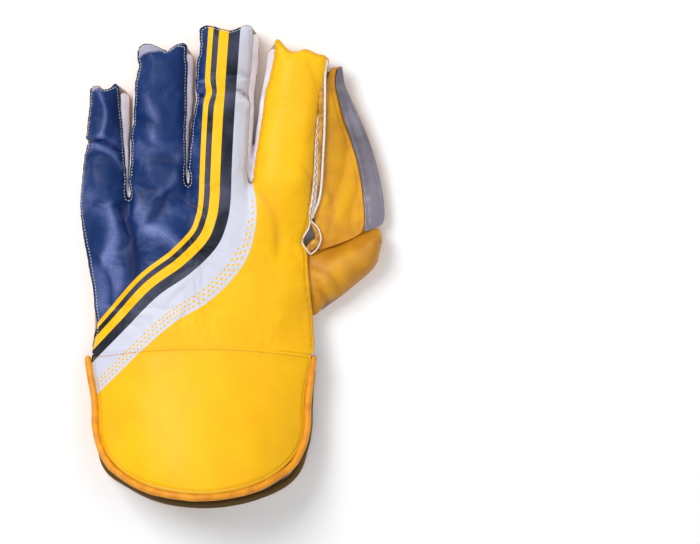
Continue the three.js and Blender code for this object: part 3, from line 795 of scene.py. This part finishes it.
PALE_THREAD = Finish("pale thread", Base_Color=shade(222, 214, 190), Roughness=0.75)
TAN_THREAD = Finish("tan thread", Base_Color=shade(196, 138, 24), Roughness=0.75)
BROWN_THREAD = Finish("brown thread", Base_Color=shade(170, 120, 56), Roughness=0.75)
for thread in (PALE_THREAD, TAN_THREAD, BROWN_THREAD):
    thread.relief(thread.noise(0.3 * MM), 0.1 * MM)

back_stitches = stitches_on(*back_seam)
back_stitches = [place for place in back_stitches if past_wrist([place.translation])[0] > 4 * MM]
prints, _ = stripe_place([place.translation for place in back_stitches], STRIPE_ROUTE)
dark = [place for place, band in zip(back_stitches, prints) if band < SILVER_UNIT]
bright = [place for place, band in zip(back_stitches, prints) if band >= SILVER_UNIT]
for name, finish, places, slot in (
    ("back_pale_stitches", PALE_THREAD, dark, "pale_leather"),
    ("back_tan_stitches", TAN_THREAD, bright, "yellow_leather"),
):
    stitches = scattered(name, thread_bead(), places)
    finish.on(stitches)
    hand_in(stitches, slot)


# Cuff
# Two stiff flaps of coated leather open like a bell at the wrist. Their outer edges are bound
# with a folded orange-yellow strip, and a dark cloth lines them.
CUFF_LEATHER = 2.3 * MM
FLOOR_GAP = 0.15 * MM
PALM_ROUTE = [
    Route(30.4, 6.1, 0.8, 12.5),
    Route(11.4, -37.9, 0.8, 12.5),
    Route(-12.6, -92.9, 0.8, 12.5),
    Route(-22.6, -115.9, 0.8, 12.5),
]
CUFF_FOLDS = [
    Fold(-36.6, -20.9, -28.6, -65.9, 0.5, 12),
    Fold(31.4, -15.9, 43.4, -63.9, 0.4, 9),
    Fold(53.4, -7.9, 61.4, -37.9, 0.35, 6),
]

MOUTH_MIDDLE = WRIST - np.array([0, 30]) * MM
CUFF_PULLS = [Pull(1.8, 0, 0, 9, 72, -6), Pull(-0.6, 0, 0, 8, -72, -6)]
BINDING_PULLS = [Pull(-0.8, 7.0, 0, 9, -74, -6), Pull(1.0, 7.4, 0, 9, 75, -6)]
PALM_PULLS = [
    Pull(0, -1.5, 0, 40, -20, -96, 24, -96),
    Pull(2.6, -1.6, 0, 16, 54, -80),
    Pull(-2.6, -0.8, 0, 15, -60, -76),
]

LINING = Finish("lining cloth", Sheen_Weight=0.3)
weave = LINING.node("TexWave", {"bands_direction": "X"}, {"Vector": LINING.place, "Scale": 260})
cross = LINING.node("TexWave", {"bands_direction": "Y"}, {"Vector": LINING.place, "Scale": 260})
weave = Value(LINING, weave.outputs[1]) * Value(LINING, cross.outputs[1])
LINING.relief(weave, 0.25 * MM)
LINING.feed("Base Color", LINING.mix(weave, shade(72, 56, 28), shade(112, 88, 46)))
LINING.feed("Roughness", LINING.noise(4 * MM) * 0.1 + 0.85)

# Below the wrist the flap is a little wider and shorter than its even outline.
CUFF_STRETCH = (0.012, -0.01)
cuff = Sheet("cuff_back_leather", outer_face("cuff_back", True), 3)
below = smooth(-past_wrist(cuff.at) / (16 * MM))[:, None]
cuff.at[:, :2] += (cuff.at[:, :2] - MOUTH_MIDDLE) * CUFF_STRETCH * below
cuff.at = dragged(cuff.at, CUFF_PULLS)
cuff.at[:, 1] += 1.1 * MM * np.exp(-((past_wrist(cuff.at) / (4 * MM)) ** 2))
cuff.write()

# The flap is levelled to the hem of the hand, so that only the stitches show where they meet.
hem = back.at[back.inside < 0.3 * MM]
hem = hem[np.abs(past_wrist(hem)) < 3 * MM]
hem = hem[np.argsort(hem[:, 0])]
level = np.interp(cuff.at[:, 0], hem[:, 0], hem[:, 2]) - 0.15 * MM
meeting = smooth(1 + past_wrist(cuff.at) / (12 * MM))
folded = cuff.buckle(CUFF_FOLDS)
cuff.press(folded)
cuff.sew(SEAM_INSET, 0.4 * MM, 0.12 * MM, 8 * MM, 7, -past_wrist(cuff.at))
swell = cuff.waver(34 * MM, 8)
cuff.press(0.5 * MM * swell)
cuff.at[:, 2] += meeting * (level - cuff.at[:, 2])
cuff.write()
printed(cuff, STRIPE_ROUTE, folded + 0.2 * MM * swell)
cuff_seam = seam_line(cuff, SEAM_INSET)
cuff.solid(CUFF_LEATHER, CUT_EDGE)
PRINT.on(cuff.obj)
hand_in(cuff.obj, "yellow_leather", "cuff_back")

palm_cuff = Sheet("cuff_palm_leather", outer_face("cuff_palm", False), 3)
palm_cuff.at = dragged(palm_cuff.at, PALM_PULLS)
palm_cuff.write()
palm_cuff.sew(SEAM_INSET, 0.4 * MM, 0.1 * MM, 8 * MM, 9)
palm_cuff.at[:, 2] = np.maximum(palm_cuff.at[:, 2], FLOOR_GAP)
palm_cuff.write()
printed(palm_cuff, PALM_ROUTE, 0.2 * MM * palm_cuff.waver(30 * MM, 10), mirrored=True)
palm_cuff_seam = seam_line(palm_cuff, SEAM_INSET)
palm_cuff.solid(CUFF_LEATHER, CUT_EDGE)
PRINT.on(palm_cuff.obj)
palm_cuff.obj.data.materials.append(LINING.material)
FACES_UP = 0.3
for polygon in palm_cuff.obj.data.polygons:
    polygon.material_index = int(polygon.normal.z > FACES_UP)
hand_in(palm_cuff.obj, "yellow_leather", "cuff_palm")


noise.seed_set(5)


def spots_of(obj):
    """The points of a piece as rows of numbers."""
    return np.array([vert.co for vert in obj.data.vertices])


def move_to(obj, spots):
    obj.data.vertices.foreach_set("co", spots.ravel())
    obj.data.update()


def softened(node, levels, sway, size, seed, swell=0.0):
    """A rounded copy of a whole CAD solid, its walls moved together by soft noise."""
    obj = piece(node + "_made", merged(node))
    for vert in obj.data.vertices:
        vert.co += vert.normal * swell
    divide = obj.modifiers.new("divide", "SUBSURF")
    divide.levels = divide.render_levels = levels
    applied(obj)
    for vert in obj.data.vertices:
        spot = vert.co / size + Vector((seed, seed * 2.7, seed * 5.1))
        vert.co += sway * noise.noise_vector(spot)
    obj.data.shade_smooth()
    return obj


BOUND = shade(234, 154, 8)
BOUND_WORN = shade(214, 132, 8)
BINDING = Finish("binding", Specular_IOR_Level=0.45)
tint = BINDING.noise(7 * MM, 3)
BINDING.feed("Base Color", BINDING.mix(tint.smooth(0.35, 0.7), BOUND, BOUND_WORN))
leather_grain(BINDING, 0.5)

# Seen from above, the palm flap's binding is coloured dark brown on its upward faces.
BINDING_DARK_ON_TOP = Finish("binding dark on top", Specular_IOR_Level=0.3)
upper = BINDING_DARK_ON_TOP.reads("upper").smooth(-0.45, -0.15)
tint = BINDING_DARK_ON_TOP.mix(BINDING_DARK_ON_TOP.noise(7 * MM, 3), BOUND, BOUND_WORN)
BINDING_DARK_ON_TOP.feed("Base Color", BINDING_DARK_ON_TOP.mix(upper, tint, shade(98, 74, 30)))
leather_grain(BINDING_DARK_ON_TOP, 0.6)

for number, (side, finish, fit, pulls, flat, area) in enumerate((
    ("back", BINDING, (0.992, 0.976), BINDING_PULLS, (0.146, 0.082), 0.0098),
    ("palm", BINDING_DARK_ON_TOP, (0.99, 0.99), PALM_PULLS, (0.134, 0.084), 0.0093),
)):
    binding = softened(f"cuff_{side}_binding", 2, 0.25 * MM, 9 * MM, number, 0.65 * MM)
    spots = spots_of(binding)
    spots[:, :2] = MOUTH_MIDDLE + (spots[:, :2] - MOUTH_MIDDLE) * fit
    spots = dragged(spots, pulls)
    spots[:, 2] = np.maximum(spots[:, 2], FLOOR_GAP)
    move_to(binding, spots)
    upper = binding.data.attributes.new("upper", "FLOAT", "POINT")
    upper.data.foreach_set("value", [vert.normal.z for vert in binding.data.vertices])
    finish.on(binding)
    hand_in(binding, "binding", f"cuff_{side}_binding")
    lining = softened(f"cuff_{side}_lining", 2, 0.3 * MM, 14 * MM, number + 5)
    if side == "palm":
        move_to(lining, dragged(spots_of(lining), PALM_PULLS))
    LINING.on(lining)
    hand_in(lining, "lining", f"cuff_{side}_lining")

for name, (line, normals) in (("cuff_back", cuff_seam), ("cuff_palm", palm_cuff_seam)):
    stitches = scattered(name + "_stitches", thread_bead(), stitches_on(line, normals))
    TAN_THREAD.on(stitches)
    hand_in(stitches, "binding")


# Palm
# The palm, the finger fronts, the thumb's front and the underside of the web are faced with
# moulded rubber: rows of small round pimples, each with a dimple, on a soft padded base.
RUBBER = 2.6 * MM
PIMPLE_PITCH = 3.25 * MM
PIMPLE_HEIGHT = 0.65 * MM
PIMPLE_RADIUS = 1.35 * MM

WEB_PULLS = [
    Pull(-4.4, 0, 0, 12, 87, 176, 82, 112),
    Pull(0, -1.6, 0, 7, 78, 66, 100, 72),
    Pull(-2.8, 0, 0, 7, 78.5, 96, 80, 70),
]
THUMB_PULLS = [Pull(1.0, -1.8, 0, 7, 90, 42, 114, 62), Pull(-3.4, 0.6, 0, 12, 122, 72)]
THUMB_EDGE_PULLS = [*THUMB_PULLS, Pull(-2.4, 1.7, 0, 40, 112, 56)]

PIMPLED = Finish("pimpled rubber", Specular_IOR_Level=0.35)
tone = PIMPLED.noise(26 * MM, 3)
colour = PIMPLED.mix(tone.smooth(0.3, 0.75), shade(232, 166, 12), shade(214, 142, 10))
turned_up = PIMPLED.reads("turned_up")
colour = PIMPLED.mix(turned_up, colour, shade(176, 166, 156))
PIMPLED.feed("Base Color", colour)
PIMPLED.feed("Roughness", tone * 0.15 + 0.6)
PIMPLED.relief(PIMPLED.noise(0.9 * MM, 3), 0.2 * MM, 0.6)


def pimple():
    """A low dome with a dimple in its top, from three steps inwards and up or down."""
    stud = bmesh.new()
    bmesh.ops.create_circle(stud, cap_ends=True, radius=PIMPLE_RADIUS, segments=7)
    top = stud.faces[:]
    for inset, lift in ((0.35, 0.45), (0.4, 0.08), (0.25, -0.25)):
        bmesh.ops.inset_individual(stud, faces=top, thickness=inset * MM, depth=lift * MM)
    return stud


def pimple_places(sheet):
    """A grid of six-sided cells over the sheet's underside, clear of its seams."""
    polygons = [polygon.vertices[:] for polygon in sheet.obj.data.polygons]
    surface = BVHTree.FromPolygons([Vector(spot) for spot in sheet.at], polygons)
    rim = KDTree(len(sheet.rim))
    for number, spot in enumerate(sheet.rim):
        rim.insert(spot, number)
    rim.balance()
    low = sheet.at.min(axis=0)
    high = sheet.at.max(axis=0)
    row_pitch = PIMPLE_PITCH * math.sqrt(0.75)
    places = []
    for row, y in enumerate(np.arange(low[1], high[1], row_pitch)):
        for x in np.arange(low[0] + row % 2 * PIMPLE_PITCH / 2, high[0], PIMPLE_PITCH):
            spot, normal, _, _ = surface.ray_cast(Vector((x, y, low[2] - MM)), Vector((0, 0, 1)))
            if spot is None or abs(normal.z) < 0.55 or rim.find(spot)[2] < SEAM_INSET + 1.8 * MM:
                continue
            out = normal if normal.z < 0 else -normal
            turn = out.to_track_quat("Z", "Y").to_matrix().to_4x4()
            places.append(Matrix.Translation(spot) @ turn)
    return places


for number, (node, levels, pulls) in enumerate((
    ("palm_face", 2, PLAN_PULLS),
    ("thumb_face", 3, THUMB_PULLS),
    ("web_face", 3, WEB_PULLS),
)):
    sheet = Sheet(node + "_rubber", outer_face(node, False), levels)
    sheet.at = dragged(sheet.at, pulls)
    sheet.write()
    high = smooth((sheet.at[:, 2] - 9 * MM) / (2 * MM)) * (node == "palm_face")
    sheet.attribute("turned_up", high)
    sheet.press(0.35 * MM * sheet.waver(20 * MM, number + 24))
    sheet.at[:, 2] = np.maximum(sheet.at[:, 2], PIMPLE_HEIGHT)
    sheet.write()
    sheet.sew(SEAM_INSET, 0.3 * MM, 0.15 * MM, 7 * MM, number + 20)
    pimples = scattered(node + "_pimples", pimple(), pimple_places(sheet))
    stitches = scattered(node + "_stitches", thread_bead(), stitches_on(*seam_line(sheet, SEAM_INSET)))
    sheet.solid(RUBBER, CUT_EDGE)
    spots = spots_of(sheet.obj)
    spots[:, 2] = np.maximum(spots[:, 2], FLOOR_GAP)
    move_to(sheet.obj, spots)
    PIMPLED.on(sheet.obj, pimples)
    TAN_THREAD.on(stitches)
    hand_in(sheet.obj, "palm_rubber", node)
    hand_in(pimples, "palm_rubber")
    hand_in(stitches, "binding")


# Gussets
# Pale suede strips join the back to the palm between the fingers, along the outer side of the
# hand and at the wrist. They are cut wide and crease softly.
SUEDE = Finish("pale suede", Sheen_Weight=0.25, Sheen_Roughness=0.5, Specular_IOR_Level=0.3)
nap = SUEDE.noise(2.2 * MM, 4)
patch = SUEDE.noise(16 * MM, 2)
SUEDE.feed("Base Color", SUEDE.mix(patch.smooth(0.3, 0.7), shade(250, 246, 255), shade(228, 220, 228)))
SUEDE.feed("Roughness", nap * 0.1 + 0.8)
SUEDE.relief(nap, 0.25 * MM, 0.7)

for number, node in enumerate((
    "little_ring_gusset",
    "ring_middle_gusset",
    "middle_index_gusset",
    "little_side_strip",
    "wrist_gusset",
)):
    gusset = softened(node, 3, 0.5 * MM, 8 * MM, number + 30)
    move_to(gusset, dragged(spots_of(gusset), PLAN_PULLS))
    SUEDE.on(gusset)
    hand_in(gusset, "pale_leather", node)


# Piping of the index finger and the hole
# Down the index finger's thumb side run two white pipes with a stitched golden strip between
# them. They end at the hole by the thumb, whose two sides are bound with thin white piping.
WHITE_PIPE = Finish("white piping", Specular_IOR_Level=0.35)
tint = WHITE_PIPE.noise(2.5 * MM, 3)
colour = WHITE_PIPE.mix(tint.smooth(0.45, 0.7) * 0.5, shade(228, 224, 224), shade(214, 190, 150))
WHITE_PIPE.feed("Base Color", colour)
leather_grain(WHITE_PIPE, 0.6)
GOLD_STRIP = Finish("golden strip", Specular_IOR_Level=0.3)
tint = GOLD_STRIP.noise(3 * MM, 3)
colour = GOLD_STRIP.mix(tint.smooth(0.4, 0.65), shade(214, 160, 60), shade(168, 116, 44))
GOLD_STRIP.feed("Base Color", colour)
leather_grain(GOLD_STRIP, 0.6)

STRIP_HEIGHT = 19.5 * MM

# Places that the cords run through. share: their thickness there, as a share of the full one.
Spot = namedtuple("Spot", "x y z share")
RIGHT_PIPE = [
    Spot(80.6, 192.6, 21.0, 1),
    Spot(82.6, 190.4, 21.2, 1),
    Spot(81.4, 184, 21.5, 1),
    Spot(81.2, 168.8, 21.5, 1),
    Spot(81.0, 152, 21.3, 1),
    Spot(80.4, 136.6, 21.0, 1),
    Spot(78.4, 106, 20.4, 1),
    Spot(74.4, 93, 19.6, 1),
    Spot(71.8, 88, 19.2, 1),
]
LEFT_PIPE = [
    Spot(77.2, 160, 20.8, 0.3),
    Spot(76.4, 150, 21.4, 0.7),
    Spot(75.6, 132.7, 21.6, 1),
    Spot(75.2, 117.4, 21.2, 1.3),
    Spot(73.8, 101.4, 20.4, 1.6),
    Spot(71.9, 92, 19.8, 1.3),
    Spot(71.5, 87, 19.4, 0.7),
]
GOLD_LINE = [
    Spot(80.6, 190, 20.4, 0.8),
    Spot(79.2, 184, 21.0, 1),
    Spot(78.6, 168, 21.4, 1),
    Spot(78.4, 150, 21.2, 1),
    Spot(77.8, 132, 21.0, 0.8),
    Spot(76.6, 112, 20.6, 0.7),
    Spot(73.4, 95, 19.8, 0.5),
]
HOLE_LEFT = [
    Spot(71.6, 87, 19.0, 1),
    Spot(70.4, 82, 19.6, 1),
    Spot(66.6, 75.6, 19.8, 1),
    Spot(66.0, 73.4, 19.8, 1.2),
    Spot(68.4, 69.8, 19.6, 1),
    Spot(71.4, 65.6, 19.0, 1),
]
HOLE_RIGHT = [
    Spot(72.4, 87, 19.4, 1),
    Spot(76.6, 82.6, 19.6, 1),
    Spot(78.6, 76, 19.4, 1),
    Spot(76.4, 69.4, 19.2, 1),
    Spot(71.8, 65.2, 18.8, 1),
]
HOLE_LOOP = [
    Spot(72.4, 86, 18.4, 0.5),
    Spot(75.2, 81.5, 18.4, 0.8),
    Spot(76.4, 75.6, 18.4, 1),
    Spot(73.6, 71.4, 18.2, 1.5),
    Spot(71.0, 69.0, 18.0, 1.2),
    Spot(70.8, 66.4, 18.0, 0.6),
]


def cord(name, spots, radius):
    """A round cord through a few spots, in millimetres from the wrist seam."""
    curve = bpy.data.curves.new(name, "CURVE")
    curve.dimensions = "3D"
    curve.bevel_depth = radius
    curve.bevel_resolution = 3
    curve.use_fill_caps = True
    line = curve_through(spots, 8)
    spline = curve.splines.new("POLY")
    spline.points.add(len(line) - 1)
    places = line[:, :3] * MM + (*WRIST, 0)
    spline.points.foreach_set("co", np.column_stack([places, np.ones(len(line))]).ravel())
    spline.points.foreach_set("radius", line[:, 3])
    holder = bpy.data.objects.new(name, curve)
    mesh = bpy.data.meshes.new_from_object(holder)
    bpy.data.objects.remove(holder)
    obj = piece(name, mesh)
    obj.data.shade_smooth()
    return obj


strip = softened("index_side_strip", 3, 0.3 * MM, 8 * MM, 33)
spots = spots_of(strip)
spots[:, 2] = np.minimum(spots[:, 2], STRIP_HEIGHT)
move_to(strip, dragged(spots, [Pull(-4.4, 0, 0, 14, 87, 190, 82, 110)]))
GOLD_STRIP.on(strip)
hand_in(strip, "pale_leather", "index_side_strip")

for name, spots, radius, finish, slot in (
    ("index_right_pipe", RIGHT_PIPE, 0.85 * MM, WHITE_PIPE, "pale_leather"),
    ("index_left_pipe", LEFT_PIPE, 1.2 * MM, WHITE_PIPE, "pale_leather"),
    ("index_gold_strip", GOLD_LINE, 1.8 * MM, GOLD_STRIP, "yellow_leather"),
    ("hole_left_pipe", HOLE_LEFT, 0.55 * MM, WHITE_PIPE, "pale_leather"),
    ("hole_right_pipe", HOLE_RIGHT, 0.5 * MM, WHITE_PIPE, "pale_leather"),
    ("hole_loop", HOLE_LOOP, 2.0 * MM, GOLD_STRIP, "binding"),
):
    pipe = cord(name, spots, radius)
    finish.on(pipe)
    hand_in(pipe, slot)

ZIGZAG_WIDTH = 1.0 * MM
ZIGZAG_RUN = 2.4 * MM
for name, spots, lift in (
    ("index_zigzag_stitches", GOLD_LINE, 1.5),
    ("index_pipe_stitches", LEFT_PIPE[1:], 1.6),
    ("hole_loop_stitches", HOLE_LOOP, 1.9),
):
    line = curve_through(spots, 40)
    middle = line[:, :3] * MM + (*WRIST, 0)
    middle[:, 2] += lift * MM * line[:, 3]
    steps = np.concatenate([[0], np.cumsum(np.linalg.norm(np.diff(middle, axis=0), axis=1))])
    middle[:, 0] += ZIGZAG_WIDTH * (np.abs((steps / ZIGZAG_RUN) % 2 - 1) - 0.5)
    ups = np.tile([0.0, 0.0, 1.0], (len(middle), 1))
    stitches = scattered(name, thread_bead(), stitches_on(middle, ups, 1.3 * MM))
    BROWN_THREAD.on(stitches)
    hand_in(stitches, "binding")


# Web and thumb
# Smooth yellow leather backs the thumb stall and the web that joins it to the index finger.
# The web's free edge is covered with a plain silver tape, and the hole at its foot is bound.
THIN_LEATHER = 2.2 * MM
WEB_FOLDS = [
    Fold(89.4, 172.1, 83.4, 94.1, 0.8, 4),
    Fold(95.4, 154.1, 97.4, 90.1, 0.7, 4),
    Fold(81.4, 114.1, 83.4, 80.1, 0.6, 2.5),
]
THUMB_FOLDS = [
    Fold(73.4, 58.1, 89.4, 44.1, 0.9, 3),
    Fold(75.4, 42.1, 83.4, 32.1, 0.7, 2),
    Fold(83.4, 66.1, 105.4, 72.1, 0.6, 4),
    Fold(71.4, 50.1, 79.4, 36.1, 0.8, 2.4),
]


def smooth_leather(name, light, deep):
    """Smooth dull leather, with painted shade in its hollows and painted highlights on its ridges."""
    finish = Finish(name, Specular_IOR_Level=0.32)
    tone = finish.noise(26 * MM, 3)
    relief = finish.reads("relief")
    colour = finish.mix(tone.smooth(0.35, 0.65), light, deep)
    # Painted shade in hollows and a painted highlight on ridges, from the folds' depths.
    colour = finish.mix(relief.smooth(0.1, -0.9), colour, SHADED_OCHRE)
    colour = finish.mix(relief.smooth(0.1, 1.2) * 0.6, colour, YELLOW)
    finish.feed("Base Color", colour)
    leather_grain(finish, 0.42)
    return finish


# Both are the glove's yellow leather darkened towards ochre: painted shade, as the web and the thumb
# slope away from the light.
WEB_LEATHER = smooth_leather("web leather", shade(226, 160, 8), shade(196, 132, 18))
THUMB_LEATHER = smooth_leather("thumb leather", shade(216, 152, 22), shade(190, 128, 26))

SILVER_TAPE = Finish("silver tape", Specular_IOR_Level=0.4)
tone = SILVER_TAPE.noise(20 * MM, 2)
up_the_tape = Value(SILVER_TAPE, SILVER_TAPE.node("SeparateXYZ", {}, {0: SILVER_TAPE.place}).outputs[1])
shadow = up_the_tape.smooth(0.03, 0.12)
colour = SILVER_TAPE.mix(shadow, shade(118, 112, 126), shade(84, 82, 92))
SILVER_TAPE.feed("Base Color", SILVER_TAPE.mix(tone.smooth(0.4, 0.7) * 0.5, colour, shade(142, 138, 154)))
SILVER_TAPE.feed("Roughness", tone * 0.1 + 0.35)
SILVER_TAPE.feed("Metallic", tone * 0.1 + 0.25)
SILVER_TAPE.relief(SILVER_TAPE.noise(3 * MM, 3), 0.2 * MM, 0.4)

for number, (node, folds, pulls, finish, slot) in enumerate((
    ("web_back", WEB_FOLDS, WEB_PULLS, WEB_LEATHER, "yellow_leather"),
    ("web_strip", [], WEB_PULLS, SILVER_TAPE, "silver_leather"),
    ("thumb_back", THUMB_FOLDS, THUMB_PULLS, THUMB_LEATHER, "yellow_leather"),
)):
    sheet = Sheet(node + "_leather", outer_face(node, True), 3)
    sheet.at = dragged(sheet.at, pulls)
    sheet.write()
    folded = sheet.buckle(folds)
    sheet.press(folded)
    sheet.sew(SEAM_INSET, 0.3 * MM, 0.2 * MM, 7 * MM, number + 40)
    swell = sheet.waver(18 * MM, number + 50)
    sheet.press(0.5 * MM * swell)
    sheet.attribute("relief", (folded + 0.5 * MM * swell) / MM)
    sheet.solid(1.5 * MM if node == "web_strip" else THIN_LEATHER, 0.4 * MM)
    finish.on(sheet.obj)
    hand_in(sheet.obj, slot, node)
    node == "web_strip"

for node, finish, slot in (
    ("thumb_side_strip", SILVER_TAPE, "silver_leather"),
    ("crotch_binding", BINDING, "binding"),
):
    thin = softened(node, 2, 0.15 * MM, 6 * MM, 60)
    if node == "thumb_side_strip":
        move_to(thin, dragged(spots_of(thin), THUMB_EDGE_PULLS))
    finish.on(thin)
    hand_in(thin, slot, node)


# Camera, floor and light
# The glove lies on a plain pale floor and is seen from straight above, its fingers up.
# Large soft lights hang to the left and overhead, as for a picture in a catalogue.
VIEW_WIDTH = 455 * MM
VIEW_CENTRE = Vector((*(WRIST + np.array([97.5, 53.9]) * MM), 0))
VIEW_HEIGHT = 3600 * MM
LOOKED_AT = 22 * MM

camera = bpy.data.cameras.new("camera")
camera.lens = camera.sensor_width * (VIEW_HEIGHT - LOOKED_AT) / VIEW_WIDTH
camera.clip_end = 20
camera_object = bpy.data.objects.new("camera", camera)
camera_object.location = VIEW_CENTRE + Vector((0, 0, VIEW_HEIGHT))
bpy.context.scene.collection.objects.link(camera_object)
bpy.context.scene.camera = camera_object

floor = bmesh.new()
bmesh.ops.create_grid(floor, x_segments=1, y_segments=1, size=3)
floor_object = piece("floor", floor)
FLOOR = Finish("floor", Roughness=0.8, Base_Color=shade(246, 246, 247))
FLOOR.on(floor_object)

Light = namedtuple("Light", "x y z size power")
for number, light in enumerate([
    Light(-0.85, 0.75, 1.5, 0.9, 24),
    Light(1.0, 0.1, 1.6, 1.2, 6),
    Light(-0.1, -0.6, 3.8, 1.6, 22),
]):
    lamp = bpy.data.lights.new(f"light_{number}", "AREA")
    lamp.size = light.size
    lamp.energy = light.power
    lamp_object = bpy.data.objects.new(f"light_{number}", lamp)
    lamp_object.location = (light.x, light.y, light.z)
    lamp_object.rotation_euler = (-lamp_object.location).to_track_quat("-Z", "Y").to_euler()
    bpy.context.scene.collection.objects.link(lamp_object)

world = bpy.data.worlds.new("studio")
world.use_nodes = True
world.node_tree.nodes["Background"].inputs["Color"].default_value = (1, 1, 1, 1)
world.node_tree.nodes["Background"].inputs["Strength"].default_value = 0.42
bpy.context.scene.world = world
bpy.context.scene.view_settings.view_transform = "Standard"
